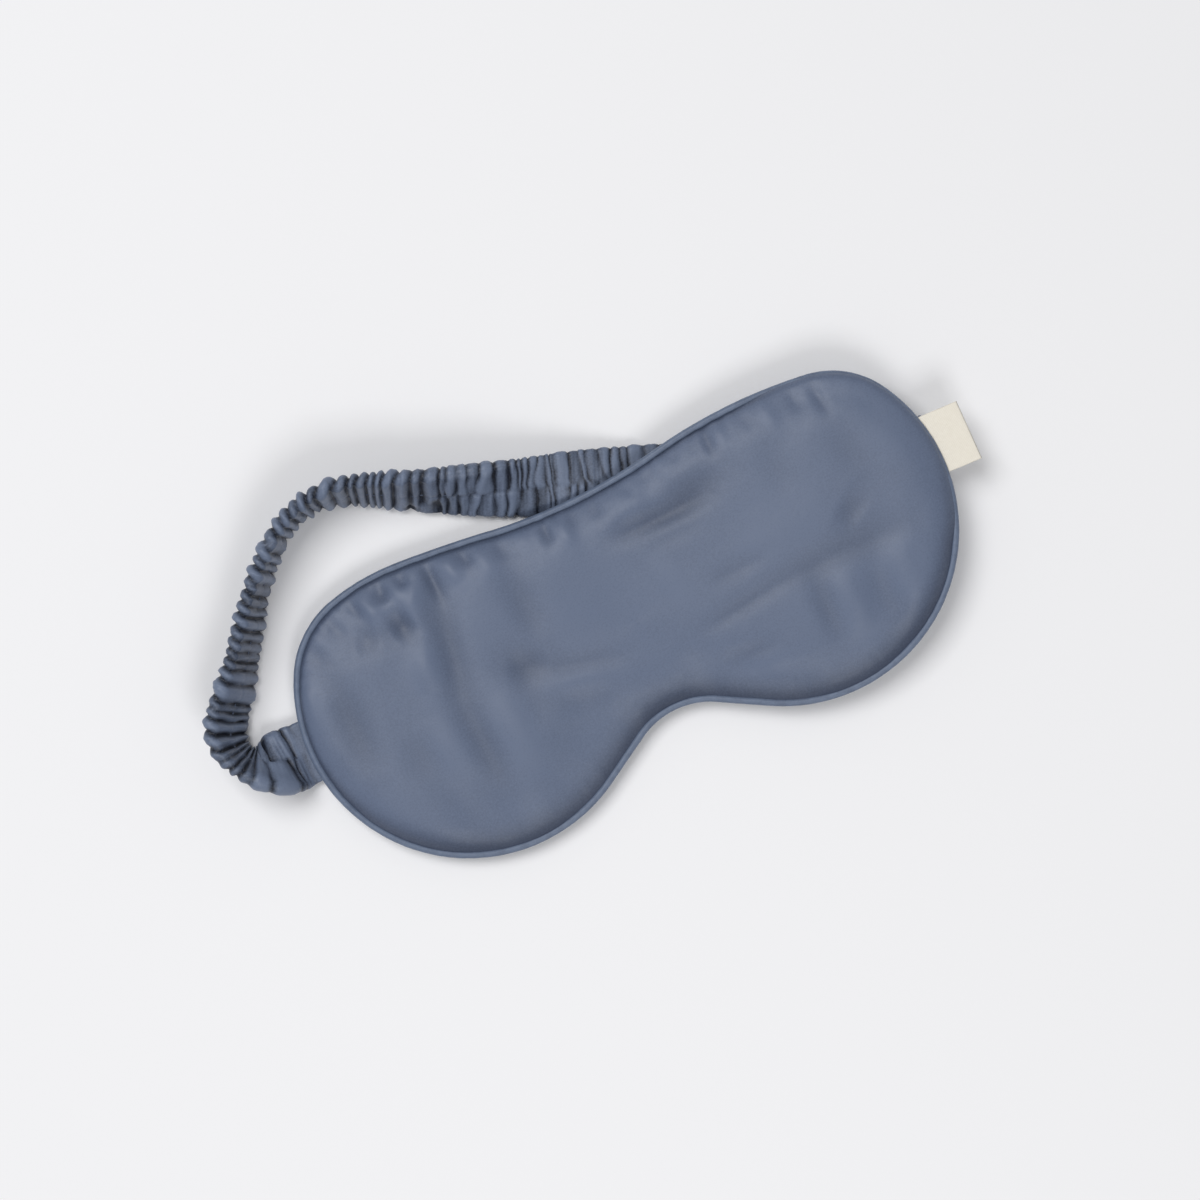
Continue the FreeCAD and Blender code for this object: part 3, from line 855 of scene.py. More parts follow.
    def from_outline(self, points: np.ndarray) -> tuple[np.ndarray, np.ndarray, np.ndarray]:
        """Finds each point's place on the outline.

        Args:
            points: Flat points in millimetres.

        Returns:
            The nearest outline point's share of the way round, the distance inwards, and the outward normals.
        """
        loop = OUTLINE.loop(self.outline_points)
        nearest = np.empty(len(points), int)
        for first in range(0, len(points), 4000):
            block = points[first:first + 4000, None, :2] - loop[None, :, :2]
            nearest[first:first + 4000] = np.einsum("ijk,ijk->ij", block, block).argmin(1)
        way = loop[nearest, 2:]
        inset = -np.einsum("ij,ij->i", points[:, :2] - loop[nearest, :2], way)
        return nearest / len(loop), inset, way

    def press_folds(self, points: np.ndarray, normals: np.ndarray) -> tuple[np.ndarray, np.ndarray]:
        """Adds the soft folds and the puckers along the seam, and draws the edge up to the bead.

        Args:
            points: Flat points in millimetres.
            normals: Their outward normals.

        Returns:
            The moved points and each one's colour share: painted shade in creases and along the seam, widest
            along the lower rim, and painted highlight on ridges.
        """
        share, distance, way = self.from_outline(points)
        inset = np.clip(distance - self.seam_inset, 0.0, None)
        turn = share * 2 * np.pi
        ring = np.stack([np.cos(turn), np.sin(turn)], 1) * 9.0
        uneven = value_noise(np.hstack([ring * 1.6, inset[:, None] * 0.05]), 3.1)
        present = np.clip(0.4 + value_noise(ring, 8.4), 0.0, 1.0)
        pucker = np.sin(share * self.nominal_round * 2 * np.pi / self.pucker_pitch + 3.2 * uneven) * present
        tucked = self.tuck(np.hstack([points[:, :2], way]))
        gathered = 0.18 + 0.82 * np.clip((way[:, 1] - 0.1) / 0.5, 0.0, 1.0) * (1 - tucked)
        fade = np.exp(-(inset / 4.0)) * (1 - np.exp(-(inset / 0.8)))
        rolling = value_noise(points[:, :2] / 30.0, 17.0) * 0.35
        rolling = rolling + value_noise(points[:, :2] / 13.0, 5.0) * 0.12
        calm = 1 - np.exp(-(inset / 10.0))
        rise = self.pucker_height * pucker * fade * gathered + rolling * calm
        front = points[:, 2] > SEAM_Z
        settled = 1 - np.exp(-(inset / 1.4))
        for creases, strength in ((BROAD_FOLDS, self.fold_strength), (RIM_PUCKERS, self.pucker_strength)):
            for crease in creases:
                rise -= strength * crease.depth_at(points[:, 0], points[:, 1]) * front * settled
        moved = points + normals * rise[:, None] * np.where(front, 1.0, 0.5)[:, None]
        up = np.abs(moved[:, 2] - SEAM_Z)
        over = tucked * front
        wall = np.interp(up, self.wall_heights, self.wall_insets) - over * self.overhang
        _, now, way = self.from_outline(moved)
        blend = 1 - np.clip((up - 0.6) / 1.0, 0.0, 1.0)
        moved[:, :2] += way * ((now - wall) * blend)[:, None]
        # painted shade: the colour darkens along the seam's groove, over a wider band along the lower rim
        # where the light falls away
        low = np.clip(-way[:, 1], 0.0, 1.0)
        shade = self.seam_shade * np.exp(-(inset / (1.15 + 4.4 * low)) ** 2) * (1 - 0.85 * over * (1 - low))
        # the colour share is painted shade in valleys and painted highlight on ridges, less the painted seam
        # shade
        return moved, self.painted_shade_level + self.painted_shade_per_mm * np.clip(rise, -2.2, 0.5) - shade

    def satin(self) -> bpy.types.Object:
        """Builds the inflated satin skin as one closed flat object, in metres."""
        block = self.block()
        obj = self.remeshed(block, "pad_skin", self.fine)
        bm = bmesh.new()
        bm.from_mesh(obj.data)
        for _ in range(2):
            bmesh.ops.smooth_vert(bm, verts=bm.verts, factor=0.5,
                                  use_axis_x=True, use_axis_y=True, use_axis_z=True)
        bmesh.ops.recalc_face_normals(bm, faces=bm.faces)
        bm.to_mesh(obj.data)
        bm.free()
        coarse = self.remeshed(block, "coarse_pad", self.coarse)
        start, step = self.swelling(coarse)
        set_coordinates(obj.data, self.carry(coordinates(obj.data), start, step))
        bpy.data.objects.remove(coarse)
        return obj

    def half_skin(self, whole: bpy.types.Object, name: str, front: bool) -> bpy.types.Object:
        """Cuts one face of the skin off the whole along the seam plane.

        Args:
            whole: The closed skin.
            name: Name of the new piece.
            front: True for the outer face, False for the face side.

        Returns:
            The open skin.
        """
        bm = bmesh.new()
        bm.from_mesh(whole.data)
        geometry = list(bm.verts) + list(bm.edges) + list(bm.faces)
        bmesh.ops.bisect_plane(bm, geom=geometry, dist=1e-4, plane_co=(0, 0, SEAM_Z * MM), plane_no=(0, 0, 1),
                               clear_inner=front, clear_outer=not front)
        mesh = mesh_of(bm, name)
        return new_object(name, mesh)

    def build(self, strap: "Strap") -> None:
        """Builds, places and dresses the front and the back satin.

        Args:
            strap: The strap, on which the back of the pad lies.
        """
        whole = self.satin()
        normals = np.array([v.normal for v in whole.data.vertices])
        points, fold = self.press_folds(coordinates(whole.data) / MM, normals)
        set_coordinates(whole.data, points * MM)
        set_shade_and_tone(whole.data, fold)
        for name, front, nodes in (("front_satin", True, ("front_panel_left", "front_panel_right")),
                                   ("back_satin", False, ("back_panel_left", "back_panel_right"))):
            skin = self.half_skin(whole, name, front)
            placed = PLACEMENT.place(coordinates(skin.data) / MM)
            if not front:
                placed = strap.dent(placed)
                placed[:, 2] = np.maximum(placed[:, 2], self.table_gap * MM)
            set_coordinates(skin.data, placed)
            dress(skin, self.finishes.satin.material())
            thicken(skin, "cloth_wall", CLOTH_WALL, -1.0)
            soft = skin.modifiers.new("round", "SUBSURF")
            soft.levels = soft.render_levels = 1
            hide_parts(*nodes)
            bend(skin)
            LOG.info("%s: %d faces", name, len(skin.data.polygons))
        bpy.data.objects.remove(whole)


def bend(obj: bpy.types.Object) -> None:
    """Bakes the piece's placement into its mesh.

    Args:
        obj: The piece.
    """
    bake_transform(obj)


# ---------------------------------------------------------------- piping


@dataclass
class Piping:
    """Bias-cut satin bead round the whole edge, over its cotton cord; lengths in millimetres."""

    finishes: Finishes
    radius: float = 1.14
    rise: float = 0.95
    sunk: float = 0.75
    rings: int = 1500
    around: int = 20
    cord_radius: float = 0.8
    cord_around: int = 10

    def build(self) -> None:
        """Builds, places and dresses the bead, which lies lower where the panel hangs over it."""
        line = OUTLINE.loop(self.rings, self.radius + 0.06)
        under = Pad.tuck(line)
        circle = line[:, :2] / 9.0
        wobble = value_noise(circle * 0.7, 2.0)
        fine = value_noise(circle * 3.2, 6.0)
        rings = np.zeros((self.rings, self.around, 3))
        for k in range(self.around):
            angle = 2 * math.pi * k / self.around
            twist = value_noise(circle * 4.0 + math.cos(angle) * 1.3, 9.0 + math.sin(angle))
            radius = self.radius * (1 + 0.03 * wobble + 0.03 * fine + 0.03 * twist)
            rings[:, k, :2] = line[:, :2] + line[:, 2:] * (radius * math.cos(angle))[:, None]
            rings[:, k, 2] = SEAM_Z + self.rise - self.sunk * under + radius * math.sin(angle) + 0.1 * wobble
        mesh = tube_mesh("piping", rings, PLACEMENT.place, closed=True)
        obj = new_object("piping", mesh)
        set_shade_and_tone(mesh, 0.86 + 0.25 * value_noise(coordinates(mesh) * 500.0, 4.0))
        dress(obj, self.finishes.piping.material())
        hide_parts("piping_cover_left", "piping_cover_right")
        bend(obj)
        LOG.info("piping: %d faces", len(mesh.polygons))
        self._filler(line[::3], under[::3])

    def _filler(self, line: np.ndarray, under: np.ndarray) -> None:
        """Lays the cotton cord inside the bead.

        Args:
            line: Rows of x, y and the outward normal along the bead's middle.
            under: How far the panel hangs over the bead there.
        """
        rings = np.zeros((len(line), self.cord_around, 3))
        for k in range(self.cord_around):
            angle = 2 * math.pi * k / self.cord_around
            rings[:, k, :2] = line[:, :2] + line[:, 2:] * self.cord_radius * math.cos(angle)
            rings[:, k, 2] = SEAM_Z + self.rise - self.sunk * under + self.cord_radius * math.sin(angle)
        mesh = tube_mesh("filler_cord", rings, PLACEMENT.place, closed=True)
        obj = new_object("filler_cord", mesh)
        dress(obj, self.finishes.cotton.material())
        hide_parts("piping_cord_left", "piping_cord_right")
        bend(obj)


# ---------------------------------------------------------------- strap


@dataclass(frozen=True)
class Station:
    """A cross-section of the strap: its middle, the direction of its width, and its outer size."""

    middle: tuple[float, float, float]
    width_way: tuple[float, float, float]
    width: float
    thickness: float


@dataclass(frozen=True)
class Pleats:
    """Creases across one long half of the ruched tube."""

    places: np.ndarray
    depths: np.ndarray
    staggers: np.ndarray
    leans: np.ndarray
    ridges: np.ndarray
    peaks: np.ndarray

    def height(self, at: np.ndarray, reach: float, side: float, upright: np.ndarray) -> np.ndarray:
        """The rounded ridges between the creases along one line.

        Args:
            at: All distances along the strap.
            reach: Distance from the line of stitches, from 0 to 1 at the tube's edge.
            side: Place through the thickness, from -1 to 1.
            upright: How far the strap stands on its edge, from 0 to 1.

        Returns:
            Height from 0 to about 1.
        """
        standing = np.interp(self.places, at, upright)
        face = np.where(side > 0, self.leans[0], self.leans[1]) * (1 - reach)
        curve = np.sin(reach * 2.6 + self.staggers * 3.0) + 0.4 * np.sin(reach * 6.5 + self.staggers * 9.0)
        gaps = np.diff(self.places, append=self.places[-1] + 3.0)
        lines = self.places + 0.25 * gaps * standing * (1 - side)
        lines = lines + 0.3 * (1 - standing) * self.staggers * side
        lines = lines + (1 - 0.7 * standing) * (0.7 * face * min(1.0, abs(side) * 1.5) + 0.4 * curve)
        order = np.argsort(lines)
        lines = lines[order]
        lines = lines[0] + np.concatenate([[0.0], np.cumsum(np.maximum(np.diff(lines), 0.9))])
        fading = 0.86 + 0.2 * np.sin(reach * 4.0 + self.staggers * 5.0)
        depths = np.clip((self.depths * fading)[order] + 0.15 * standing, 0.0, 1.0)
        right = np.clip(np.searchsorted(lines, at), 1, len(lines) - 1)
        gap = lines[right] - lines[right - 1]
        t = np.clip((at - lines[right - 1]) / gap, 0.0, 1.0)
        floor = 1 - (depths[right - 1] * (1 - t) + depths[right] * t)
        top = self.ridges[right] * np.clip(0.7 + gap / 8.0, 0.0, 1.08)
        peak = self.peaks[right] * (1 - upright) + 0.5 * upright
        rising = np.where(t < peak, t / peak, (1 - t) / (1 - peak))
        return floor + (top - floor) * (1 - (1 - rising) ** (2.3 - 0.2 * upright))


@dataclass
class Strap:
    """Ruched satin tube over a flat elastic, from the left seam round the loop to the right seam.

    Lengths are in millimetres, but for the cut, which is the tube's flat width and length in metres.
    The run's rows are x, y and the roll about the strap's length in degrees.
    The fold's rows are x from the rim, the share of the way up from the table and the yaw in degrees.
    """

    finishes: Finishes
    width: float = 21.4
    loose: float = 5.0
    pressed: float = 2.6
    corner: float = 0.4
    pitch: float = 3.35
    ring_step: float = 0.34
    hidden_step: float = 0.6
    hidden_from: float = 14.0
    lift: float = 0.35
    dip: float = 2.3
    tail_width: float = 20.0
    tail_thickness: float = 1.8
    tail_z: float = 3.1
    sewn: float = 8.5
    stitch_pitch: float = 2.4
    elastic_width: float = 16.0
    elastic_thickness: float = 0.6
    cut: tuple[float, float] = (0.044, 0.45)
    seen_before: float = 8.0
    loose_before: float = -12.0
    crimp: float = 0.16
    run: tuple[tuple[float, float, float], ...] = (
        (-115.2, 4.7, 22), (-119.8, 5.6, 46), (-124.0, 8.0, 66), (-127.2, 12.2, 74), (-128.3, 17.2, 69),
        (-126.6, 22.4, 65), (-123.0, 27.4, 66), (-118.3, 32.6, 69), (-112.8, 39.4, 74), (-107.2, 46.8, 77),
        (-101.6, 54.0, 81), (-95.6, 60.6, 84), (-89.3, 66.2, 86), (-82.8, 70.6, 87), (-75.8, 73.0, 85),
        (-68.2, 73.3, 80), (-60.4, 71.2, 74), (-51.4, 67.2, 69), (-40.5, 61.6, 61), (-25.4, 54.7, 49),
        (-10.0, 48.2, 33), (4.0, 42.8, 18), (18.0, 37.2, 6), (36.0, 30.2, 0), (56.0, 22.9, 0),
        (76.0, 15.7, 0),
    )
    fold: tuple[tuple[float, float, float], ...] = ((-14.5, 0.02, 71), (-6.0, 0.13, 79), (-1.6, 0.44, 87),
                                                    (-1.8, 0.80, 90))

    def stations(self) -> list[Station]:
        """The sections from one sewn end to the other, as they lie, in millimetres."""
        rim = OUTLINE.length / 2
        tail = (self.tail_width, self.tail_thickness)
        result = [Station((-rim + self.sewn, ROOT_Y, self.tail_z), (0, -1, 0), *tail),
                  Station((-rim, ROOT_Y, self.tail_z), (0, -1, 0), *tail),
                  Station((-rim - 3.2, ROOT_Y, self.tail_z), (0, -1, 0), self.tail_width + 0.6, 2.8)]
        line = np.array([(-rim, ROOT_Y)] + [(x, y) for x, y, _ in self.run])
        heading = np.gradient(line, axis=0)[1:]
        for (x, y, roll), along in zip(self.run, heading):
            side = np.array([-along[1], along[0]]) / np.hypot(*along)
            angle = math.radians(roll)
            thick = self.loose if x < self.loose_before else self.pressed
            r = self.corner * thick
            lift = (self.width / 2 - r) * math.sin(angle) + (thick / 2 - r) * math.cos(angle) + r
            way = (side[0] * math.cos(angle), side[1] * math.cos(angle), math.sin(angle))
            result.append(Station((x, y, lift), way, self.width, thick))
        high = self.right_seam(rim - HALF_FOLD_GAP)
        low = self.pressed / 2
        for from_rim, share, yaw in self.fold:
            angle = math.radians(yaw)
            y = ROOT_Y - (1 - share) * 0.36 * from_rim
            middle = (high[0] + from_rim, y, low + share * (high[2] - low))
            result.append(Station(middle, (math.cos(angle), math.sin(angle), 0), self.width,
                                  self.pressed if share < 0.3 else self.tail_thickness))
        for inset in (2.6, self.sewn):
            x, z = self.right_seam(rim - HALF_FOLD_GAP - inset)[::2]
            result.append(Station((x, ROOT_Y, z), (0, 1, 0), *tail))
        return result

    def right_seam(self, x: float) -> np.ndarray:
        """A point of the right tail's middle, tilted with its half, in millimetres."""
        placed = PLACEMENT.place(np.array([[x + HALF_FOLD_GAP, ROOT_Y, self.tail_z]]))[0] / MM
        return placed - np.array([PLACEMENT.shift, 0.0, 0.0])

    def frames(self, step: float, hidden_step: float = 0.0) -> tuple[np.ndarray, ...]:
        """Smooth frames along the strap.

        Args:
            step: Spacing in millimetres.
            hidden_step: Spacing where the strap lies under the mask, if it differs.

        Returns:
            Distances, middles, headings, width directions, face directions, widths and thicknesses.
        """
        stations = self.stations()
        table = np.array([(*s.middle, *s.width_way, s.width, s.thickness) for s in stations], float)
        gaps = np.linalg.norm(np.diff(table[:, :3], axis=0), axis=1)
        knots = np.concatenate([[0.0], np.cumsum(gaps)])
        fine = np.linspace(0.0, knots[-1], int(knots[-1] / 0.2))
        rows = catmull_rom(knots, table, fine)
        lengths = np.concatenate([[0.0], np.cumsum(np.linalg.norm(np.diff(rows[:, :3], axis=0), axis=1))])
        last = lengths[-1]
        if hidden_step:
            hidden = (rows[:, 0] > self.hidden_from) & (lengths > 60.0)
            start = lengths[hidden][0]
            at = np.concatenate([np.linspace(0.0, start, int(start / step), endpoint=False),
                                 np.linspace(start, last, int((last - start) / hidden_step))])
        else:
            at = np.linspace(0.0, last, int(last / step))
        rows = np.stack([np.interp(at, lengths, rows[:, k]) for k in range(8)], 1)
        heading = np.gradient(rows[:, :3], at, axis=0)
        heading /= np.linalg.norm(heading, axis=1, keepdims=True)
        across = rows[:, 3:6] - heading * np.einsum("ij,ij->i", rows[:, 3:6], heading)[:, None]
        across /= np.linalg.norm(across, axis=1, keepdims=True)
        face = np.cross(heading, across)
        return at, rows[:, :3], heading, across, face, rows[:, 6], rows[:, 7]

    @staticmethod
    def upright(across: np.ndarray) -> np.ndarray:
        """How far the strap stands on its edge, from 0 to 1, from the direction of its width."""
        t = np.clip((np.abs(across[:, 2]) - 0.8) / 0.15, 0.0, 1.0)
        return t * t * (3 - 2 * t)

    @staticmethod
    def section() -> list[tuple[float, float, float, float]]:
        """Places round the tube, as shares of its flat half width and of its half thickness.

        Returns:
            Rows of flat share from -1 to 1, side from -1 to 1, and the outward direction over width and
            thickness.
        """
        face = (0.96, 0.84, 0.72, 0.6, 0.48, 0.36, 0.25, 0.16, 0.09, 0.03)
        face = face + tuple(-q for q in reversed(face))
        turns = [math.radians(a) for a in (12, 38, 64, 90, 116, 142, 168)]
        rows = [(1.0, math.cos(a), math.sin(a), math.cos(a)) for a in reversed(turns)]
        rows += [(q, 1.0, 0.0, 1.0) for q in face]
        rows += [(-1.0, math.cos(a), -math.sin(a), math.cos(a)) for a in turns]
        rows += [(-q, -1.0, 0.0, -1.0) for q in face]
        return rows

    def pleats(self, at: np.ndarray, upright: np.ndarray, upper: bool) -> Pleats:
        """Lays out the creases of one long half of the tube; most of them cross both halves.

        Args:
            at: All distances along the strap.
            upright: How far the strap stands on its edge there, from 0 to 1.
            upper: True for the half above the line of stitches.

        Returns:
            The creases in order along the strap.
        """
        chance = np.random.default_rng(41)
        places, place = [], 0.0
        while place < at[-1] + 6.0:
            standing = float(np.interp(place, at, upright))
            wide = 1.2 if place < 24.0 else 1.0 + 0.08 * standing
            uneven = float(np.clip(chance.lognormal(-0.08, 0.5 - 0.2 * standing), 0.4, 1.7))
            place += self.pitch * wide * uneven
            places.append(place)
        if not upper:
            chance = np.random.default_rng(59)
            kept = [p for i, p in enumerate(places) if i % 2 or chance.random() > 0.25]
            places = [p + 0.4 * float(chance.normal()) for p in kept]
        count = len(places)
        return Pleats(places=np.sort(np.array(places)), depths=chance.uniform(0.5, 1.05, count),
                      staggers=chance.uniform(-1.0, 1.0, count), leans=chance.normal(0.0, 1.0, (2, count)),
                      ridges=chance.uniform(0.66, 1.12, count + 1), peaks=chance.uniform(0.3, 0.7, count + 1))

    def ruche(self, at: np.ndarray, upright: np.ndarray, q: float, side: float) -> np.ndarray:
        """The gathers' height along a line of the tube.

        Args:
            at: Distances along the strap.
            upright: How far the strap stands on its edge there, from 0 to 1.
            q: Place across the width, from -1 to 1.
            side: Place through the thickness, from -1 to 1.

        Returns:
            Height from 0 at the bottom of a crease to about 1 on a ridge.
        """
        share = 0.5 + 0.5 * np.clip((q + 1.2 * upright) / 0.1, -1.0, 1.0)
        above = self.pleats(at, upright, True).height(at, abs(q), side, upright)
        below = self.pleats(at, upright, False).height(at, abs(q), side, upright)
        turn = q * 1.1 + 0.8 * (1 - side)
        places = np.stack([at / 0.85, np.full_like(at, turn), np.full_like(at, 0.4 * side)], 1)
        crimp = value_noise(places, 7.0)
        return share * above + (1 - share) * below + self.crimp * crimp

    def build(self) -> None:
        """Builds, places and dresses the tube, its elastic and its line of stitches."""
        at, middle, _, across, face, width, thick = self.frames(self.ring_step, self.hidden_step)
        total = at[-1]
        section = self.section()
        upright = self.upright(across)
        calm = np.clip(np.minimum(at - 8.6, total - 8.6 - at) / 4.0, 0.0, 1.0)
        bulk = np.clip((thick - self.tail_thickness) / (self.loose - self.tail_thickness), 0.12, 1.0)
        rings = np.zeros((len(at), len(section), 3))
        folds = np.zeros((len(at), len(section)))
        for k, (q, side, out, through) in enumerate(section):
            height = self.ruche(at, upright, q, side)
            on_face = abs(q) < 1
            pinch = 0.3 * math.exp(-(q / 0.09) ** 2) * (1 - 0.8 * upright) if on_face else 0.0 * at
            drop = (1 - height) * calm
            flat = width / 2 - thick / 2
            sinking = bulk if on_face else 0.38 + 0.45 * upright
            swell = self.lift * bulk * calm - drop * self.dip * sinking
            swell = swell * (1 - 0.5 * pinch) - pinch * 1.1 * bulk * calm
            reach = q * flat + out * (thick / 2 + swell)
            depth = side * thick / 2 + through * swell
            rings[:, k] = middle + across * reach[:, None] + face * depth[:, None]
            # painted shade: the colour darkens into each crease and along the pinched line of stitches, and
            # the ridges take the light face tone
            folds[:, k] = (1.05 - 1.7 * (1 - height) - 0.3 * pinch) * calm + 0.8 * (1 - calm)
        low = rings[..., 2].min(axis=1)
        rings[..., 2] += np.clip(0.1 - low, 0.0, None)[:, None]
        mesh = tube_mesh("strap", rings, PLACEMENT.shift_only, closed=False)
        set_shade_and_tone(mesh, self._sorted_like(mesh, rings, folds))
        obj = new_object("strap", mesh)
        dress(obj, self.finishes.strap.material())
        thicken(obj, "cloth_wall", CLOTH_WALL, -1.0)
        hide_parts("strap_cover_left", "strap_cover_right")
        bend(obj)
        LOG.info("strap: %.0f mm long, %d faces", total, len(mesh.polygons))
        self._elastic()
        self._stitch_line()

    def _stitch_line(self) -> None:
        """Sews the row of small stitches that holds the gathers to the middle of the elastic."""
        at, middle, heading, across, face, _, thick = self.frames(0.4)
        upright = self.upright(across)
        heights = {side: self.ruche(at, upright, 0.03, side) for side in (1.0, -1.0)}
        bm = bmesh.new()
        for number in range(int(at[-1] / self.stitch_pitch)):
            place = number * self.stitch_pitch + 0.5 * noise.noise(Vector((number * 0.7, 0.0, 5.0)))
            index = int(np.searchsorted(at, place))
            if not 12.0 < place < at[-1] - 12.0 or index >= len(at):
                continue
            if middle[index, 0] >= self.seen_before:
                continue
            for side in (1.0, -1.0):
                height = float(heights[side][index])
                low = thick[index] / 2 - 0.35 - 0.3 * self.dip * (1 - height)
                spot = PLACEMENT.shift_only((middle[index] + face[index] * side * low)[None])[0]
                turn = Vector(heading[index]).to_track_quat("X", "Z").to_matrix().to_4x4()
                size = Matrix.Diagonal((0.75 * MM, 0.2 * MM, 0.2 * MM, 1.0))
                bmesh.ops.create_icosphere(bm, subdivisions=1, radius=1.0,
                                           matrix=Matrix.Translation(Vector(spot)) @ turn @ size)
        mesh = mesh_of(bm, "strap_stitch_line")
        obj = new_object("strap_stitch_line", mesh)
        dress(obj, self.finishes.thread.material())
        bend(obj)

    @staticmethod
    def _sorted_like(mesh: bpy.types.Mesh, rings: np.ndarray, values: np.ndarray) -> np.ndarray:
        """Gives each mesh vertex the value of the ring point that it stands on."""
        tree = tree_of(PLACEMENT.shift_only(rings.reshape(-1, 3)))
        plain = values.ravel()
        return np.array([plain[tree.find(v.co)[1]] for v in mesh.vertices])

    def _elastic(self) -> None:
        """Builds the flat elastic inside the tube."""
        _, middle, _, across, face, _, _ = self.frames(2.0)
        w, t = self.elastic_width / 2, self.elastic_thickness / 2
        corners = ((w, t), (w, -t), (-w, -t), (-w, t))
        rings = np.stack([middle + across * w + face * t for w, t in corners], 1)
        mesh = tube_mesh("elastic", rings, PLACEMENT.shift_only, closed=False)
        obj = new_object("elastic", mesh)
        dress(obj, self.finishes.elastic.material())
        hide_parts("strap_elastic_left", "strap_elastic_right")
        bend(obj)

    def dent(self, placed: np.ndarray) -> np.ndarray:
        """Lifts points of the pad's back that would lie in the strap.

        Args:
            placed: Points in the row frame, in metres.

        Returns:
            The lifted points.
        """
        _, middle, _, across, _, width, thick = self.frames(3.0)
        under = (middle[:, 0] > -30.0) & (middle[:, 0] < 88.0) & (middle[:, 2] < 7.0)
        middle, across, width, thick = middle[under], across[under], width[under], thick[under]
        flat = placed[:, :2] / MM - np.array([PLACEMENT.shift, 0.0])
        out = placed.copy()
        gap = flat[:, None, :] - middle[None, :, :2]
        near = np.einsum("ijk,ijk->ij", gap, gap).argmin(1)
        offset = np.einsum("ij,ij->i", gap[np.arange(len(flat)), near], across[near, :2])
        beyond = np.clip(np.abs(offset) - width[near] / 2, 0.0, None)
        top = middle[near, 2] + across[near, 2] * offset + thick[near] / 2 + 0.5
        ends = np.linalg.norm(gap[np.arange(len(flat)), near], axis=1) < width[near] / 2 + 8.0
        lifted = np.where(ends, top * np.exp(-(beyond / 3.0) ** 2), 0.0)
        out[:, 2] = np.maximum(out[:, 2], np.minimum(lifted, 4.6) * MM)
        return out


def catmull_rom(knots: np.ndarray, values: np.ndarray, at: np.ndarray) -> np.ndarray:
    """Smooth values between rows.

    Args:
        knots: Rising places of the rows.
        values: One row for each knot.
        at: Places wanted.

    Returns:
        One row for each place.
    """
    slopes = np.gradient(values, knots, axis=0)
    index = np.clip(np.searchsorted(knots, at) - 1, 0, len(knots) - 2)
    gap = (knots[index + 1] - knots[index])[:, None]
    t = ((at - knots[index]) / gap[:, 0])[:, None]
    h00, h10 = 2 * t ** 3 - 3 * t ** 2 + 1, t ** 3 - 2 * t ** 2 + t
    h01, h11 = -2 * t ** 3 + 3 * t ** 2, t ** 3 - t ** 2
    return (h00 * values[index] + h10 * gap * slopes[index] + h01 * values[index + 1]
            + h11 * gap * slopes[index + 1])


# ---------------------------------------------------------------- what lies inside


@dataclass
class Inside:
    """The hidden layers, rebuilt from the CAD nodes; lengths in millimetres."""

    finishes: Finishes
    half_length: float = 110.0
    cut_reach: int = 8
    cut_step: int = 2

    def build(self) -> None:
        """Rebuilds each hidden layer as one piece."""
        plan = (
            ("front_filling", ("front_wadding_left", "front_wadding_right"), self.finishes.wadding,
             Slot.WADDING, 0.9, 0.5),
            ("back_filling", ("back_wadding_left", "back_wadding_right"), self.finishes.wadding,
             Slot.WADDING, 0.9, 0.6),
            ("liner", ("blackout_liner_left", "blackout_liner_right"), self.finishes.liner,
             Slot.LINER, 0.1, 1.0),
            ("seam_thread", ("seam_stitches_left", "seam_stitches_right"), self.finishes.thread,
             Slot.THREAD, 0.0, 1.0),
        )
        for name, nodes, finish, slot, thinner, squeezed in plan:
            obj = self._copy(name, nodes, thinner, squeezed)
            dress(obj, finish.material())
            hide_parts(*nodes)
            bend(obj)
            LOG.info("%s: %d faces", name, len(obj.data.polygons))

    def _copy(self, name: str, nodes: Iterable[str], thinner: float, squeezed: float) -> bpy.types.Object:
        """Joins copies of CAD nodes, with cuts across the soft zone.

        Args:
            name: Name of the new piece.
            nodes: The CAD nodes.
            thinner: How far the surface moves inwards, in millimetres.
            squeezed: Share of its distance from the seam plane that each point keeps, so that folds clear it.

        Returns:
            The joined copy.
        """
        flat = np.array([(x, 0.0, SEAM_Z) for x in np.linspace(-self.half_length, self.half_length, 111)])
        seam = PLACEMENT.place(flat)
        bm = bmesh.new()
        for node in nodes:
            bm.from_mesh(bpy.data.objects[node].data)
        bmesh.ops.remove_doubles(bm, verts=bm.verts, dist=2e-6)
        for x in range(-self.cut_reach, self.cut_reach + 1, self.cut_step):
            geometry = list(bm.verts) + list(bm.edges) + list(bm.faces)
            plane = ((PLACEMENT.shift + x) * MM, 0, 0)
            bmesh.ops.bisect_plane(bm, geom=geometry, plane_co=plane, plane_no=(1, 0, 0))
        bm.normal_update()
        moves = [(v, v.normal * (-thinner * MM)) for v in bm.verts]
        for vert, move in moves:
            vert.co += move
            base = float(np.interp(vert.co.x, seam[:, 0], seam[:, 2]))
            vert.co.z = base + squeezed * (vert.co.z - base)
        mesh = mesh_of(bm, name)
        return new_object(name, mesh)


# ---------------------------------------------------------------- label


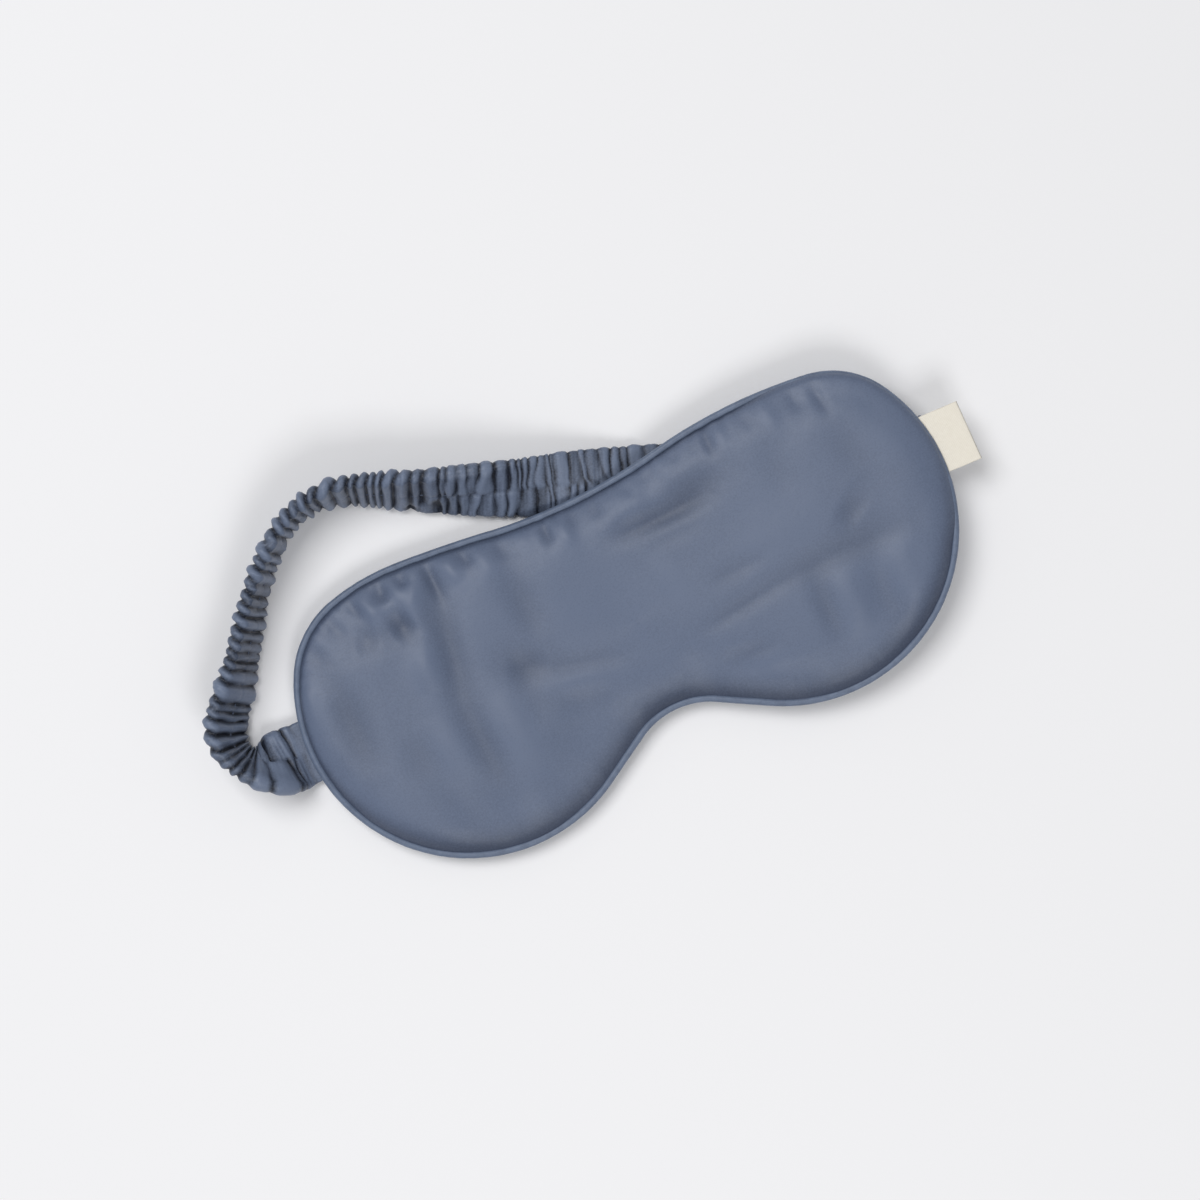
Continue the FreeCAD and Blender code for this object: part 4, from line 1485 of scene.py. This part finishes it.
@dataclass
class Label:
    """Folded cotton ribbon in the right seam, bare on both faces; lengths in millimetres."""

    finishes: Finishes
    width: float = 19.2
    reach: float = 10.6
    root: float = 102.3
    hinge: float = 108.55
    middle_y: float = 5.4
    ply: float = 0.24
    gap: float = 0.5
    bare_from: float = 107.0

    def build(self) -> None:
        """Builds, places and dresses the ribbon as one piece, with its two plies and its outer fold."""
        bm = bmesh.new()
        bmesh.ops.create_grid(bm, x_segments=96, y_segments=44, size=0.5)
        top = SEAM_Z - 0.3
        out = OUTLINE.length / 2 + self.reach
        run = out - self.root
        for vert in bm.verts:
            u, v = vert.co.x * 2, vert.co.y * 2
            side = 1.0 if u >= 0 else -1.0
            along = 1 - abs(u)
            bow = (1 - along) ** 0.5 if along < 1 else 0.0
            x = out - run * abs(u) ** 1.02
            free = min(1.0, max(0.0, (x - self.root - 5) / 4))
            open_up = self.gap * free * math.sin(math.pi * min(1.0, along)) ** 0.5
            y = self.middle_y + v * self.width / 2
            outward = max(0.0, (x - self.bare_from) / 12)
            sway = 0.5 * math.sin(0.16 * y + 0.7) * max(0.0, (x - 106) / 14) + 0.25 * v * v * outward
            skew = -0.055 * (x - self.bare_from) * (1 if x > self.bare_from else 0)
            lean = 0.03 * (y - self.middle_y) * outward
            thick = 0.14 + 0.5 * open_up
            vert.co = (x + lean, y + skew, top - 0.3 + side * thick * min(1.0, bow * 3.0) + sway)
        bmesh.ops.recalc_face_normals(bm, faces=bm.faces)
        mesh = mesh_of(bm, "ribbon_label")
        obj = new_object("ribbon_label", mesh)
        set_coordinates(mesh, PLACEMENT.place(coordinates(mesh)))
        dress(obj, self.finishes.ribbon.material())
        thicken(obj, "ply", self.ply, 0.0)
        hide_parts("label_tail", "label_flap")
        self.width * MM
        hinge = PLACEMENT.place(np.array([[self.hinge + HALF_FOLD_GAP, self.middle_y, SEAM_Z - 0.57]]))[0]
        way = np.array([math.cos(math.radians(PLACEMENT.tilt)), 0.0, math.sin(math.radians(PLACEMENT.tilt))])
        tuple(hinge - way * 1.0 * MM)
        tuple(hinge + way * 2.0 * MM)
        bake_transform(obj)
        LOG.info("label: %d faces", len(mesh.polygons))


# ---------------------------------------------------------------- studio


@dataclass(frozen=True)
class Studio:
    """White table, soft daylight and a camera that looks straight down.

    The middle, the view's width and the subject's height are in millimetres, the turn is in degrees, and
    the lamps are placed and sized in metres.
    """

    middle: tuple[float, float] = (47.7, 7.3)
    turn: float = -25.95
    view_width: float = 370.4
    lens: float = 85.0
    sensor: float = 36.0
    subject_z: float = 9.0

    def build(self) -> None:
        """Builds the floor, the lamps, the world and the camera."""
        self._floor()
        self._lamps()
        self._camera()
        bpy.context.scene.view_settings.view_transform = "Standard"

    def _floor(self) -> None:
        """Lays a plain pale table."""
        bm = bmesh.new()
        bmesh.ops.create_grid(bm, x_segments=1, y_segments=1, size=2.0)
        mesh = mesh_of(bm, "table")
        table = new_object("table", mesh)
        g = Graph("table_white")
        mesh.materials.append(g.finish(Base_Color=(*linear(244, 244, 246), 1.0), Roughness=0.9,
                                       Specular_IOR_Level=0.1))

    def _lamp(self, name: str, east: float, north: float, up: float, size: float, power: float) -> None:
        """Hangs a square soft lamp that faces the mask.

        Args:
            name: The lamp's name.
            east: Place to the right of the view, in metres.
            north: Place towards the top of the view, in metres.
            up: Height in metres.
            size: Side of the lamp in metres.
            power: Power in watts.
        """
        light = bpy.data.lights.new(name, "AREA")
        light.size = size
        light.energy = power
        lamp = bpy.data.objects.new(name, light)
        bpy.context.scene.collection.objects.link(lamp)
        angle = math.radians(self.turn)
        x = self.middle[0] * MM + east * math.cos(angle) - north * math.sin(angle)
        y = self.middle[1] * MM + east * math.sin(angle) + north * math.cos(angle)
        lamp.location = (x, y, up)
        aim = Vector((self.middle[0] * MM, self.middle[1] * MM, 0.0)) - lamp.location
        lamp.rotation_euler = aim.to_track_quat("-Z", "Y").to_euler()

    def _lamps(self) -> None:
        """Sets the window light, a fill and an even world."""
        self._lamp("window", -0.75, 0.6, 1.85, 1.1, 23.5)
        self._lamp("fill", 0.3, -0.9, 1.2, 0.6, 6.5)
        world = bpy.data.worlds.new("studio")
        world.use_nodes = True
        background = world.node_tree.nodes["Background"]
        background.inputs["Color"].default_value = (1.0, 1.0, 1.0, 1.0)
        background.inputs["Strength"].default_value = 0.31
        bpy.context.scene.world = world

    def _camera(self) -> None:
        """Hangs the camera straight above the mask."""
        data = bpy.data.cameras.new("camera")
        data.lens = self.lens
        data.sensor_width = self.sensor
        data.clip_start = 0.01
        camera = bpy.data.objects.new("camera", data)
        bpy.context.scene.collection.objects.link(camera)
        distance = self.view_width * MM * self.lens / self.sensor
        camera.location = (self.middle[0] * MM, self.middle[1] * MM, distance + self.subject_z * MM)
        camera.rotation_euler = (0.0, 0.0, math.radians(self.turn))
        bpy.context.scene.camera = camera


def dress_nodes(finishes: Finishes) -> None:
    """Gives the CAD nodes that stay their thread material."""
    for name in ("strap_tack_left", "strap_tack_right"):
        data = bpy.data.objects[name].data
        data.materials.clear()
        data.materials.append(finishes.thread.material())


def main() -> None:
    """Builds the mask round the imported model."""
    logging.basicConfig(level=logging.INFO, format="%(name)s: %(message)s")
    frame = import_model()
    LOG.info("frame with %d nodes", len(frame["nodes"]))
    finishes = Finishes()
    Studio().build()
    strap = Strap(finishes)
    Pad(finishes).build(strap)
    strap.build()
    Piping(finishes).build()
    Inside(finishes).build()
    Label(finishes).build()
    dress_nodes(finishes)


if __name__ == "__main__":
    main()
